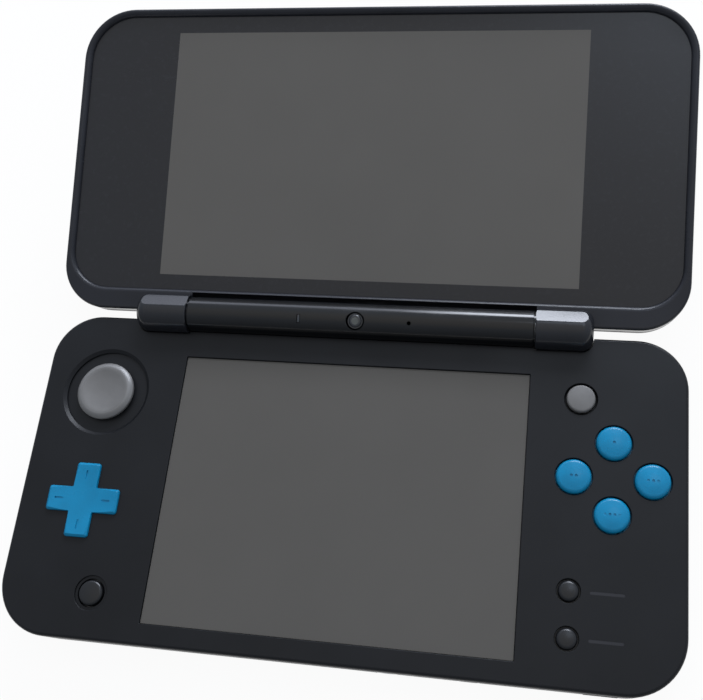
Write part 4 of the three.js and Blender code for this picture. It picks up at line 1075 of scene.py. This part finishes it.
def lid_inner_frame():
    shell, hinge = shell_sizes(), hinge_sizes()
    bottom = shell.rim_height - shell.lid_seam + shell.seam_gap / 2
    piece = lid_face("lid_frame", bottom)
    grow(shell.rim_height - shell.rim_edge - bottom)
    round_edge(shell.rim_edge)
    close_piece(piece)
    rim = shell.rim_round
    floor = shell.rim_height - shell.recess - shell.panel - 0.3 * MM
    recess = recess_face("cutter", shell.rim_height + OVERRUN, -rim)
    cut(piece, hole_tool(recess, shell.rim_height, rim, floor))
    window = recess_face("cutter", bottom - OVERRUN, 3 * MM)
    grow(shell.rim_height - bottom + OVERRUN)
    close_piece(window)
    end = knuckle_inner()
    cut(window, rod("cutter", hinge.notch_radius + shell.wall, (-end, end), 0, 0))
    cut(piece, window)
    for side in SIDES.values():
        join(piece, flattened(knuckle(side)))
    shaft_bore, clutch_bore, bore_depth = 2.4 * MM, 3.3 * MM, 10.5 * MM
    cut(piece,
        rod("cutter", hinge.notch_radius, (-end, end), 0, 0, 128),
        rod("cutter", clutch_bore, (-end + OVERRUN, -end - bore_depth), 0, 0, 48),
        rod("cutter", shaft_bore, (end - OVERRUN, end + bore_depth), 0, 0, 48))
    # The rim takes the lid frame colour with its painted light; the knuckles take their darker copy
    # of it.
    paint(piece, lid_plastic(), knuckle_plastic(), lambda place, normal:
          place.yz.length < hinge.knuckle_radius + 0.1 * MM)
    set_on_hinge(piece)
    finish(piece, "lid", "body_black", lid_plastic(), "lid_inner_frame", angle=30)


def lid_outer_cover():
    shell, hinge = shell_sizes(), hinge_sizes()
    face = shell.rim_height - shell.lid_thickness
    top = shell.rim_height - shell.lid_seam - shell.seam_gap / 2
    piece = lid_face("lid_cover", top)
    turn_down()
    grow(face + shell.cover_edge - top)
    round_edge(shell.cover_edge, 8)
    close_piece(piece)
    cavity_edge, room = 1.5 * MM, 0.3 * MM
    cavity = lid_face("cutter", top + OVERRUN, shell.wall)
    turn_down()
    grow(face + shell.wall + cavity_edge - top - OVERRUN)
    round_edge(cavity_edge)
    close_piece(cavity)
    end = knuckle_outer() + shell.wall
    cut(cavity,
        rod("cutter", hinge.notch_radius + shell.wall, (-end, end), 0, 0),
        rod("cutter", hinge.knuckle_radius + room + shell.wall, (-end, end), 0, 0))
    inner, outer = knuckle_inner(), knuckle_outer() + room
    cut(piece, cavity)
    cut(piece,
        rod("cutter", hinge.notch_radius, (-inner, inner), 0, 0, 128),
        rod("cutter", hinge.knuckle_radius + room, (-outer, outer), 0, 0, 128))
    set_on_hinge(piece)
    finish_black(piece, "lid", "lid_outer_cover", angle=30)


def upper_screen_panel():
    shell, controls = shell_sizes(), control_sizes()
    top, edge = shell.rim_height - shell.recess, 0.05 * MM
    piece = recess_face("screen_panel", top - shell.panel, 0.02 * MM)
    grow(shell.panel - edge)
    round_edge(edge, 2)
    centre = shell.near_edge + HALF_DEPTH + controls.view_shift
    half_width, half_height = controls.view_width / 2, controls.view_height / 2
    cuts = [((side * half_width, 0, 0), (1, 0, 0)) for side in SIDES.values()]
    cuts += [((0, centre + side * half_height, 0), (0, 1, 0)) for side in SIDES.values()]
    for place, normal in cuts:
        select_whole()
        bpy.ops.mesh.bisect(plane_co=place, plane_no=normal)
    close_piece(piece)

    def shows_picture(place, normal):
        inside = abs(place.x) < half_width and abs(place.y - centre) < half_height
        return inside and place.z > top - edge

    paint(piece, polished_surround(), dark_screen(), shows_picture)
    set_on_hinge(piece)
    finish(piece, "lid", "screen_surround", polished_surround(), "upper_screen_panel")


class CONSOLE_OT_lid(bpy.types.Operator):
    """Builds the lid: inner frame with its knuckles, outer cover and screen panel"""
    bl_idname = "console.lid"
    bl_label = "Lid"

    def execute(self, context):
        lid_inner_frame()
        lid_outer_cover()
        upper_screen_panel()
        return {"FINISHED"}


class CONSOLE_OT_touch_panel(bpy.types.Operator):
    """Builds the touch panel in the deck's window"""
    bl_idname = "console.touch_panel"
    bl_label = "Touch Panel"

    def execute(self, context):
        low, high = corners("touch_panel")
        x, _, half_width, _ = lower_window()
        gap, flange, edge = 0.08 * MM, 0.5 * MM, 0.1 * MM
        piece = rectangle_face("touch_sheet", (low.x, high.x), (low.y, high.y), low.z)
        grow(flange)
        bpy.ops.mesh.inset(thickness=high.x - x - half_width + gap)
        grow(high.z - low.z - flange - edge)
        round_edge(edge, 2)
        close_piece(piece)
        finish(piece, "base", "touch_screen", touch_film(), "touch_panel")
        return {"FINISHED"}


def hinge_barrel(sizes):
    radius, end = sizes.barrel_radius, sizes.barrel_half
    barrel = rod("barrel_tube", radius, (-end, end), 0, 0, 128)
    soften(barrel, 0.2 * MM, 3)
    spigot = end + sizes.turn_gap - 0.1 * MM
    join(barrel, rod("spigot", radius - 0.3 * MM, (-spigot, spigot), 0, 0, 96))
    cut(barrel, rod("cutter", radius - 1.1 * MM, (-end - OVERRUN, end + OVERRUN), 0, 0, 64))
    window = sizes.camera_radius + sizes.camera_ring
    light_half, light_reach, microphone = 0.4 * MM, 1.1 * MM, 0.5 * MM
    cut(barrel,
        round_hole(0, 0, window, radius - 0.15 * MM, 0.2 * MM, 0, 64),
        block(around(-sizes.light_offset, light_half), around(0, light_reach),
              (0, radius + OVERRUN), 0.2 * MM),
        round_hole(sizes.microphone_offset, 0, microphone, radius + 0.1 * MM, 0, 0, 32))
    set_on_hinge(barrel, sizes.camera_tilt)
    finish(barrel, "base", "body_black", barrel_plastic(), "hinge_barrel", angle=30)


def front_camera(sizes):
    lens = sizes.camera_radius
    top, ring = sizes.barrel_radius - 0.35 * MM, lens + sizes.camera_ring - 0.3 * MM
    profile = [
        (ring, top - 2.2 * MM), (ring, top - 0.45 * MM), (ring - 0.1 * MM, top - 0.35 * MM),
        (lens + 0.1 * MM, top - 0.35 * MM), (lens, top - 0.25 * MM),
        (lens - 0.15 * MM, top - 0.1 * MM)]
    profile += [
        (lens * share, top - 0.1 * MM * share * share) for share in (0.8, 0.6, 0.4, 0.2, 0)]
    camera = turned("camera_lens", profile, sides=64)
    paint(camera, coated_lens(), lens_iris(), lambda place, normal:
          place.z > top - 0.2 * MM and place.xy.length < lens * 0.68)
    set_on_hinge(camera, sizes.camera_tilt)
    finish(camera, "base", "camera_glass", coated_lens(), "front_camera")


def indicator_light(sizes):
    half_width, half_length, top = 0.27 * MM, 0.95 * MM, sizes.barrel_radius - 0.1 * MM
    light = block(
        around(-sizes.light_offset, half_width), around(0, half_length),
        (sizes.barrel_radius - 1.4 * MM, top), 0.15 * MM, "indicator_window")
    soften(light, 0.08 * MM)
    set_on_hinge(light, sizes.camera_tilt)
    finish(light, "base", "light_window", milky_light_guide(), "indicator_light")


class CONSOLE_OT_hinge_barrel(bpy.types.Operator):
    """Builds the hinge barrel with its camera, indicator light and microphone opening"""
    bl_idname = "console.hinge_barrel"
    bl_label = "Hinge Barrel"

    def execute(self, context):
        sizes = hinge_sizes()
        hinge_barrel(sizes)
        front_camera(sizes)
        indicator_light(sizes)
        return {"FINISHED"}


def domed_top(radius, top, crown, rounding):
    """Rounded edge and crown, up to the middle of a cap."""
    shoulder, steps, turn = radius - rounding, 6, 0.92
    profile = []
    for step in range(steps + 1):
        angle = QUARTER_TURN * step / steps * turn
        profile.append(
            (shoulder + rounding * cos(angle), top - crown - rounding * (1 - sin(angle))))
    for share in (0.86, 0.72, 0.56, 0.38, 0.2, 0):
        profile.append((shoulder * share, top - crown * share * share))
    return profile


def cap_profile(radius, top, crown, rounding):
    """Flange, straight side, rounded edge and domed top of a push button."""
    flange_low, flange_high = DECK - 2.3 * MM, DECK - 1.5 * MM
    brim = radius + 0.7 * MM
    return [(brim, flange_low), (brim, flange_high), (radius, flange_high),
            *domed_top(radius, top, crown, rounding)]


def mark_dots(piece, top, number):
    """Sinks a row of small round dots, one to four of them, into a button's crown."""
    pitch, radius, depth = 1.1 * MM, 0.32 * MM, 0.22 * MM
    for index in range(number):
        x = (index - (number - 1) / 2) * pitch
        dot = circle_face("cutter", x, 0, top + OVERRUN, radius, 20)
        turn_down()
        grow(-OVERRUN - depth)
        cut(piece, close_piece(dot))
    return piece


class CONSOLE_OT_face_buttons(bpy.types.Operator):
    """Builds the four turquoise face buttons"""
    bl_idname = "console.face_buttons"
    bl_label = "Face Buttons"

    def execute(self, context):
        sizes = control_sizes()
        top = corners(FACE_BUTTONS[0])[1].z
        first = turned(
            "face_button", cap_profile(sizes.face_radius, top, sizes.face_crown, sizes.cap_round))
        for number, name in enumerate(FACE_BUTTONS, 1):
            spot = middle(name)
            button = copied(first, name.replace("face_button", "face_cap"))
            put(mark_dots(button, top, number), (spot.x, spot.y, 0))
            finish(button, name, "turquoise_plastic", turquoise_key_plastic(), name)
        bpy.data.objects.remove(first)
        return {"FINISHED"}


class CONSOLE_OT_black_buttons(bpy.types.Operator):
    """Builds the home button and the two menu buttons"""
    bl_idname = "console.black_buttons"
    bl_label = "Home and Menu Buttons"

    def execute(self, context):
        sizes, crown = control_sizes(), 0.15 * MM
        spot, top = middle("home_button"), corners("home_button")[1].z
        profile = cap_profile(sizes.home_radius, top, crown, sizes.cap_round * 0.8)
        home = turned("home_cap", profile, spot.x, spot.y)
        finish(home, "home_button", "body_black", button_plastic(), "home_button")
        top = corners(MENU_BUTTONS[0])[1].z
        first = turned("menu_cap", cap_profile(sizes.menu_radius, top, crown, sizes.cap_round))
        for name in MENU_BUTTONS:
            spot = middle(name)
            button = copied(first, name.replace("menu_button", "menu_cap"), (spot.x, spot.y, 0))
            finish(button, name, "body_black", button_plastic(), name)
        bpy.data.objects.remove(first)
        return {"FINISHED"}


class CONSOLE_OT_cross_key(bpy.types.Operator):
    """Builds the cross key with a shallow dash on each arm"""
    bl_idname = "console.cross_key"
    bl_label = "Cross Key"

    def execute(self, context):
        sizes = control_sizes()
        (x, y, _), (low, high) = middle("cross_key"), corners("cross_key")
        piece = cross_face(
            "cross_cap", x, y, low.z, sizes.cross_span, sizes.cross_corner, 0.25 * MM)
        rounding = 0.12 * MM
        slope = sizes.cross_edge - rounding
        drop = slope * tan(EDGE_SLOPE)
        grow(high.z - 2 * rounding - drop - low.z)
        bpy.ops.mesh.inset(thickness=rounding, depth=2 * rounding)
        bpy.ops.mesh.inset(thickness=slope, depth=drop)
        close_piece(piece)
        join(piece, post("brim", x, y, low.z, 0.8 * MM, (high.x - low.x) / 2))
        hollow, depth = sizes.cross_span / 2 - sizes.cross_edge, sizes.cross_dish
        profile = [(hollow, high.z + OVERRUN), (hollow, high.z)]
        for share in (0.9, 0.8, 0.7, 0.6, 0.5, 0.35, 0.2, 0):
            profile.append((hollow * share, high.z - depth * (1 - share * share)))
        cut(piece, turned("cutter", profile, x, y, 96))
        reach, long, narrow, dash_depth = sizes.cross_span / 3, 1.1 * MM, 0.25 * MM, 0.15 * MM
        dash = (high.z - depth * 0.6 - dash_depth, high.z + OVERRUN)
        for aside, along in ((reach, 0), (-reach, 0), (0, reach), (0, -reach)):
            half_x, half_y = (long, narrow) if aside else (narrow, long)
            cut(piece, block(
                around(x + aside, half_x), around(y + along, half_y), dash, 0.2 * MM))
        finish(piece, "cross_key", "turquoise_plastic", turquoise_key_plastic(), "cross_key")
        return {"FINISHED"}


def bowl(radius, top, depth):
    """A bowl with a soft brim, from its edge to its middle."""
    brim = 0.12
    profile = []
    for share in (1, 0.97, 0.94, 0.9, 0.85, 0.78, 0.7, 0.6, 0.5, 0.38, 0.25, 0.12, 0):
        if share > 1 - brim:
            fall = depth * brim * ((1 - share) / brim) ** 2
        else:
            fall = depth * (1 - (share / (1 - brim)) ** 2 * (1 - brim))
        profile.append((radius * share, top - fall))
    return profile


class CONSOLE_OT_circle_pad(bpy.types.Operator):
    """Builds the circle pad's dished cap on its stem"""
    bl_idname = "console.circle_pad"
    bl_label = "Circle Pad"

    def execute(self, context):
        sizes = control_sizes()
        spot, (low, high) = middle("circle_pad"), corners("circle_pad")
        radius, stem = sizes.pad_radius, sizes.pad_stem
        inner, under, bevel = radius - sizes.pad_rim, high.z - 1.7 * MM, 0.25 * MM
        profile = [(stem, low.z), (stem, under), (radius - bevel, under), (radius, under + bevel)]
        widths = (0.02, 0.04, 0.06, 0.18, 0.2, 0.2, 0.2, 0.2, 0.12, 0.1)
        slopes = (72, 58, 48, 43, 38, 33, 28, 20, 12, 4)
        rises = [width * MM * tan(radians(slope)) for width, slope in zip(widths, slopes)]
        edge, height = radius, high.z - sum(rises)
        profile.append((edge, height))
        for width, rise in zip(widths, rises):
            edge, height = edge - width * MM, height + rise
            profile.append((edge, height))
        profile += bowl(inner, high.z, sizes.pad_dish)
        piece = turned("circle_pad_cap", profile, spot.x, spot.y, 96)
        paint(piece, grey_grip_plastic(), grey_rim_plastic(), lambda place, normal:
              (place.xy - spot.xy).length > inner + 0.05 * MM)
        finish(piece, "circle_pad", "grey_plastic", grey_grip_plastic(), "circle_pad")
        return {"FINISHED"}


class CONSOLE_OT_nub_stick(bpy.types.Operator):
    """Builds the small stick on the right"""
    bl_idname = "console.nub_stick"
    bl_label = "Nub Stick"

    def execute(self, context):
        radius = control_sizes().nub_radius
        spot, (low, high) = middle("nub_stick"), corners("nub_stick")
        under, neck, collar = high.z - 1.7 * MM, 1.7 * MM, radius + 1 * MM
        profile = [
            (neck, low.z), (collar, low.z + 0.1 * MM), (collar, low.z + 0.3 * MM),
            (neck, low.z + 0.5 * MM), (neck, under), (radius, under)]
        profile += domed_top(radius, high.z, 0.25 * MM, 0.5 * MM)
        piece = turned("nub_cap", profile, spot.x, spot.y)
        # The neck and the wide collar under the cap are black: a dark ring put in the gap round the
        # stick, painted shade that also hides the glint under the cap.
        paint(piece, grey_grip_plastic(), body_plastic(), lambda place, normal:
              place.z < under - 0.05 * MM)
        finish(piece, "nub_stick", "grey_plastic", grey_grip_plastic(), "nub_stick")
        return {"FINISHED"}


def shoulder_buttons():
    low, high = corners("right_shoulder_button")
    proud, skin, height = 0.5 * MM, 2 * MM, high.z - low.z
    under, tall = low.z - OVERRUN, height + 2 * OVERRUN
    right = base_block("right_shoulder", low.z, height, -proud)
    cut(right, base_block("cutter", under, tall, skin - proud))
    keep(right, shoulder_room(1, 0))
    soften(right, 0.35 * MM, 3)
    x, y, reach = HALF_WIDTH - POST_FROM_SIDE, HALF_DEPTH - POST_FROM_REAR, 2.3 * MM
    lug = post("lug", x, y, low.z, height, reach, 40)
    join(lug, block((x - reach, x + reach), (y, y + OVERRUN + 1 * MM), (low.z, high.z)))
    keep(lug, base_block("keeper", under, tall, shell_sizes().wall + 0.4 * MM))
    join(right, lug)
    weld(right)
    cut(right, round_hole(x, y, 1.2 * MM, high.z + 1 * MM, 0, low.z - 1 * MM, 32))
    finish_pair(right, "shoulder")


def trigger_buttons():
    low, high = corners("right_trigger_button")
    lip, flange = 0.6 * MM, 0.8 * MM
    back = HALF_DEPTH - shell_sizes().wall - 0.3 * MM
    right = block(
        within(low.x, high.x, lip), (low.y, high.y), (low.z + lip / 2, high.z),
        name="right_trigger")
    soften(right, 0.3 * MM, 3)
    join(right, block((low.x, high.x), (back - flange, back), (low.z, high.z - 0.05 * MM)))
    finish_pair(right, "trigger")


class CONSOLE_OT_shoulder_buttons(bpy.types.Operator):
    """Builds the shoulder and trigger buttons at the rear corners"""
    bl_idname = "console.shoulder_buttons"
    bl_label = "Shoulder and Trigger Buttons"

    def execute(self, context):
        shoulder_buttons()
        trigger_buttons()
        return {"FINISHED"}


def card_door():
    low, high = corners("card_door")
    pin, thickness, notch_rise = 1 * MM, 1.4 * MM, 2.9 * MM
    half = thickness / 2
    door = block(
        within(low.x, high.x, pin), (-HALF_DEPTH, -HALF_DEPTH + thickness), (low.z, high.z),
        name="card_door_flap")
    soften(door, 0.2 * MM)
    notch = [(4 * MM, 0), (3.4 * MM, 1.1 * MM)]
    cut(door, turned_along_y(
        "cutter", notch, (low.x + high.x) / 2, -HALF_DEPTH - 0.5 * MM, high.z + notch_rise))
    join(door, rod("pin", 0.35 * MM, (low.x, high.x), -HALF_DEPTH + half, low.z + half, 24))
    finish_black(door, "card_door", "card_door")


def stylus():
    low, high = corners("stylus")
    x, whole = (low.x + high.x) / 2, high.y + HALF_DEPTH
    shaft, head, head_length, reach = 1.9 * MM, 2.4 * MM, 2.4 * MM, 3 * MM
    profile = [
        (2.1 * MM, 0), (head, 0.25 * MM), (head, head_length), (shaft, head_length),
        (shaft, whole - 8 * MM), (0.75 * MM, whole - 0.3 * MM), (0.5 * MM, whole - 0.1 * MM),
        (0, whole)]
    pen = turned_along_y("stylus_pen", profile, x, -HALF_DEPTH, STYLUS_HEIGHT)
    keep(pen, block(
        (x - reach, x + reach), (-HALF_DEPTH - 1 * MM, high.y + 1 * MM), (low.z, 8 * MM)))
    cut(pen, block(
        (x - reach, x + reach), (-HALF_DEPTH + 0.6 * MM, -HALF_DEPTH + 1.6 * MM),
        (-1 * MM, STYLUS_HEIGHT - shaft)))
    finish_black(pen, "stylus", "stylus")


def power_button():
    low, high = corners("power_button")
    fit, proud, back = 0.5 * MM, 0.1 * MM, -HALF_DEPTH + 1.5 * MM
    button = block(
        within(low.x, high.x, fit), (-HALF_DEPTH - proud, back + 0.5 * MM),
        within(low.z, high.z, fit), name="power_cap")
    soften(button, 0.08 * MM)
    join(button, block((low.x, high.x), (back, high.y), (low.z, high.z)))
    finish_black(button, "power_button", "power_button")


class CONSOLE_OT_front_fittings(bpy.types.Operator):
    """Builds the card door, the stylus and the power button in the front edge"""
    bl_idname = "console.front_fittings"
    bl_label = "Front Fittings"

    def execute(self, context):
        card_door()
        stylus()
        power_button()
        return {"FINISHED"}


def headphone_jack():
    low, high = corners("headphone_jack")
    x, half = (low.x + high.x) / 2, 2.2 * MM
    jack = block(
        (low.x, high.x), (-HALF_DEPTH + 1.5 * MM, high.y), around(JACK_HEIGHT, half), 0.3 * MM,
        "headphone_socket")
    collar, bore = 2.5 * MM, 1.75 * MM
    join(jack, turned_along_y(
        "collar", [(2.2 * MM, 0), (collar, 0.3 * MM), (collar, 3.5 * MM)], x, -HALF_DEPTH,
        JACK_HEIGHT))
    cut(jack, turned_along_y(
        "cutter", [(2.3 * MM, 0), (bore, 1.3 * MM), (bore, 13.3 * MM)], x,
        -HALF_DEPTH - 1 * MM, JACK_HEIGHT, 40))
    finish(jack, "base", "steel_part", steel(), "headphone_jack")


def charging_port():
    low, high = corners("charging_port")
    rim, tongue_side = 0.5 * MM, 1.6 * MM
    port = block(
        (low.x, high.x), (low.y, high.y), (low.z, high.z), 0.2 * MM, "charging_socket")
    soften(port, 0.2 * MM)
    cut(port, block(
        within(low.x, high.x, rim), (low.y + rim, high.y + OVERRUN), within(low.z, high.z, rim)))
    join(port, block(
        within(low.x, high.x, tongue_side), (low.y + 0.2 * MM, high.y - 1 * MM),
        (low.z + 1.3 * MM, high.z - 1.1 * MM)))
    finish(port, "base", "steel_part", steel(), "charging_port")


def volume_slider():
    low, high = corners("volume_slider")
    lip, room, flange = 1 * MM, 0.3 * MM, -HALF_WIDTH + 1.5 * MM
    knob = block(
        (low.x, flange + 0.5 * MM), within(low.y, high.y, lip), within(low.z, high.z, room),
        name="volume_knob")
    soften(knob, 0.2 * MM)
    rib_pitch, groove, groove_depth = 1.1 * MM, 0.2 * MM, 0.3 * MM
    for index in range(-1, 2):
        cut(knob, block(
            (low.x - OVERRUN, low.x + groove_depth),
            around((low.y + high.y) / 2 + index * rib_pitch, groove),
            (low.z - OVERRUN, high.z + OVERRUN)))
    join(knob, block((flange, high.x), (low.y, high.y), (low.z, high.z)))
    finish_black(knob, "volume_slider", "volume_slider")


class CONSOLE_OT_sockets(bpy.types.Operator):
    """Builds the headphone jack, the charging port and the volume slider"""
    bl_idname = "console.sockets"
    bl_label = "Sockets and Volume Slider"

    def execute(self, context):
        headphone_jack()
        charging_port()
        volume_slider()
        return {"FINISHED"}


class CONSOLE_OT_outer_cameras(bpy.types.Operator):
    """Builds the two cameras in the underside"""
    bl_idname = "console.outer_cameras"
    bl_label = "Outer Cameras"

    def execute(self, context):
        flange, glass, cone = 3.4 * MM, 2.6 * MM, 1.5 * MM
        for side in SIDES:
            name = f"{side}_outer_camera"
            spot, (low, high) = middle(name), corners(name)
            profile = [
                (glass + 1 * MM, high.z), (glass + 1 * MM, high.z - flange),
                (glass, high.z - flange), (glass, low.z + 0.15 * MM),
                (glass - 0.15 * MM, low.z), (cone + 0.4 * MM, low.z), (cone, low.z + 0.4 * MM),
                (cone * 0.6, low.z + 0.32 * MM), (0, low.z + 0.25 * MM)]
            camera = turned(f"{side}_camera_lens", profile, spot.x, spot.y, 64)
            paint(camera, coated_lens(), lens_iris(), lambda place, normal:
                  place.z < low.z + 0.45 * MM and (place.xy - spot.xy).length < cone * 0.55)
            finish(camera, "base", "camera_glass", coated_lens(), name)
        return {"FINISHED"}


class CONSOLE_OT_screws(bpy.types.Operator):
    """Builds the four cover screws"""
    bl_idname = "console.screws"
    bl_label = "Cover Screws"

    def execute(self, context):
        low, high = corners("cover_screw_1")
        head, shank, bevel = 1.9 * MM, 0.9 * MM, 0.2 * MM
        neck = low.z + 1.1 * MM
        profile = [(head - bevel, low.z), (head, low.z + bevel), (head, neck), (shank, neck)]
        turns = 12
        pitch = (high.z - low.z - 1.5 * MM) / turns
        for index in range(turns):
            z = low.z + 1.3 * MM + index * pitch
            profile += [(shank * 0.86, z), (shank, z + pitch / 2)]
        profile.append((shank * 0.6, high.z))
        first = turned("screw", profile, sides=32)
        wide, narrow = (-1.1 * MM, 1.1 * MM), (-0.3 * MM, 0.3 * MM)
        depth = (low.z - OVERRUN, low.z + 0.5 * MM)
        cut(first, block(wide, narrow, depth), block(narrow, wide, depth))
        for index, (x, y) in enumerate(screw_places(), 1):
            screw = copied(first, f"screw_{index}", (x, y, 0))
            finish(screw, "base", "steel_part", steel(), f"cover_screw_{index}")
        bpy.data.objects.remove(first)
        return {"FINISHED"}


def inner_surfaces():
    """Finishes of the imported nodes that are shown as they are, by their slot in the record."""
    return {
        "display_glass": dark_screen,
        "display_module": dark_screen,
        "grey_plastic": grey_grip_plastic,
        "rubber_sheet": rubber,
        "circuit_board": circuit_laminate,
        "battery_case": battery_sleeve,
        "steel_part": steel,
        "flex_foil": amber_flex,
    }


class CONSOLE_OT_inner_parts(bpy.types.Operator):
    """Gives the parts inside the console their surfaces"""
    bl_idname = "console.inner_parts"
    bl_label = "Inner Parts"

    def execute(self, context):
        finishes = inner_surfaces()
        slots = {part["node"]: part["material_slot"] for part in frame["record"]["subparts"]}
        for name, node in frame["nodes"].items():
            if slots[name] in finishes:
                # Parts that show through the slots are darkened: painted shade in the slots.
                surface = dark_steel if name in SEEN_THROUGH_SLOTS else finishes[slots[name]]
                node.data.materials.clear()
                node.data.materials.append(surface())
        return {"FINISHED"}


def floor_material(name, rgb):
    """A floor that takes shadows, and that the camera and mirrors see as an even pale surface."""
    material = bpy.data.materials.new(name)
    material.use_nodes = True
    tree = material.node_tree
    shader = tree.nodes["Principled BSDF"]
    shader.inputs["Base Color"].default_value = (*rgb, 1)
    shader.inputs["Roughness"].default_value = 0.8
    shader.inputs["Specular IOR Level"].default_value = 0.1
    glow = add_node(tree, "Emission", Color=(1, 1, 1, 1), Strength=1)
    rays = add_node(tree, "LightPath").outputs
    seen = rays["Is Camera Ray"]
    for kind in ("Is Glossy Ray", "Is Transmission Ray"):
        seen = add_node(tree, "Math", seen, rays[kind], operation="MAXIMUM").outputs[0]
    glow_share = 0.94
    share = add_node(tree, "Math", seen, glow_share, operation="MULTIPLY").outputs[0]
    blend = add_node(
        tree, "MixShader", share, shader.outputs["BSDF"], glow.outputs["Emission"])
    tree.links.new(blend.outputs["Shader"], tree.nodes["Material Output"].inputs["Surface"])
    return material


def shade_world(tree, background):
    """A room that is brighter behind the console and above it, and bluish towards the horizon."""
    direction = add_node(tree, "TexCoord").outputs["Generated"]
    brightest = (0.15, 0.80, 0.58)
    lean = add_node(tree, "VectorMath", direction, brightest, operation="DOT_PRODUCT")
    level = add_node(
        tree, "MapRange", lean.outputs["Value"], From_Min=-0.8, From_Max=0.9, To_Min=0.22,
        To_Max=0.78)
    height = add_node(tree, "SeparateXYZ", direction).outputs["Z"]
    tint = add_ramp(tree, height, (0.8, (0.80, 0.88, 1.0)), (0.97, (1, 1, 1)))
    tree.links.new(tint, background.inputs["Color"])
    tree.links.new(level.outputs["Result"], background.inputs["Strength"])


def add_softbox(name, place, size, watts, tint):
    """A softbox that shines on the middle of the open console."""
    data = bpy.data.lights.new(name, "AREA")
    data.shape = "RECTANGLE"
    data.size, data.size_y = size
    data.energy = watts
    data.color = tint
    lamp = bpy.data.objects.new(name, data)
    bpy.context.scene.collection.objects.link(lamp)
    lamp.location = place
    aim = Vector((0.05, 0.05, 0.01)) - Vector(place)
    lamp.rotation_euler = aim.to_track_quat("-Z", "Y").to_euler()


def add_camera(scene):
    """A camera at the photograph's viewing angle."""
    data = bpy.data.cameras.new("photo_camera")
    camera = bpy.data.objects.new("photo_camera", data)
    scene.collection.objects.link(camera)
    camera.location = (0.048729, -0.045697, 0.234519)
    camera.rotation_euler = (radians(20.2587), radians(8.2927), radians(6.0181))
    data.sensor_width = 36
    data.lens = 49.85
    data.shift_x = -0.0494
    data.shift_y = 0.008
    data.clip_start = 0.005
    scene.camera = camera


class CONSOLE_OT_stage(bpy.types.Operator):
    """Builds the floor, the world, the lamps and the camera"""
    bl_idname = "console.stage"
    bl_label = "Stage"

    def execute(self, context):
        scene = context.scene
        scene.view_settings.view_transform = "Standard"
        deselect_all()
        bpy.ops.mesh.primitive_plane_add(size=12, location=(0, 0, 0))
        floor = context.active_object
        floor.name = "floor"
        place_in_mesh(floor)
        floor.data.materials.append(floor_material("pale_floor", colours().stage))

        world = scene.world or bpy.data.worlds.new("World")
        scene.world = world
        world.use_nodes = True
        shade_world(world.node_tree, world.node_tree.nodes["Background"])
        add_softbox("softbox_above", (0.28, 0.42, 1.1), (0.46, 0.4), 0.8, (0.66, 0.80, 1.0))
        add_softbox("softbox_rear", (0.155, 0.88, 0.44), (0.51, 0.30), 7.4, (0.84, 0.89, 1.0))
        add_softbox(
            "softbox_rear_left", (-0.34, 0.85, 0.40), (0.5, 0.25), 0.8, (0.80, 0.84, 1.0))
        add_camera(scene)
        return {"FINISHED"}


OPERATORS = (
    CONSOLE_OT_base_shells, CONSOLE_OT_lid, CONSOLE_OT_touch_panel, CONSOLE_OT_hinge_barrel,
    CONSOLE_OT_face_buttons, CONSOLE_OT_black_buttons, CONSOLE_OT_cross_key,
    CONSOLE_OT_circle_pad, CONSOLE_OT_nub_stick, CONSOLE_OT_shoulder_buttons,
    CONSOLE_OT_front_fittings, CONSOLE_OT_sockets, CONSOLE_OT_outer_cameras, CONSOLE_OT_screws,
    CONSOLE_OT_inner_parts, CONSOLE_OT_stage)
GROUPS = {
    "console_shell": ConsoleShellSizes,
    "console_hinge": ConsoleHingeSizes,
    "console_controls": ConsoleControlSizes,
    "console_colours": ConsoleColours,
    "console_detail": ConsoleDetail,
}


class CONSOLE_PT_pieces(bpy.types.Panel):
    """Sizes, colours and operators of the console"""
    bl_idname = "CONSOLE_PT_pieces"
    bl_label = "Console"
    bl_space_type = "VIEW_3D"
    bl_region_type = "UI"
    bl_category = "Console"

    def draw(self, context):
        for name in GROUPS:
            box = self.layout.box()
            group = getattr(context.scene, name)
            for field in group.bl_rna.properties:
                if field.identifier not in ("rna_type", "name"):
                    box.prop(group, field.identifier)
        for operator in OPERATORS:
            self.layout.operator(operator.bl_idname)


CLASSES = (*GROUPS.values(), *OPERATORS, CONSOLE_PT_pieces)


def register():
    for entry in CLASSES:
        bpy.utils.register_class(entry)
    for name, group in GROUPS.items():
        setattr(bpy.types.Scene, name, PointerProperty(type=group))


def unregister():
    for name in GROUPS:
        delattr(bpy.types.Scene, name)
    for entry in reversed(CLASSES):
        bpy.utils.unregister_class(entry)


def main():
    register()
    for operator in OPERATORS:
        group, name = operator.bl_idname.split(".")
        getattr(getattr(bpy.ops, group), name)()


if __name__ == "__main__":
    main()
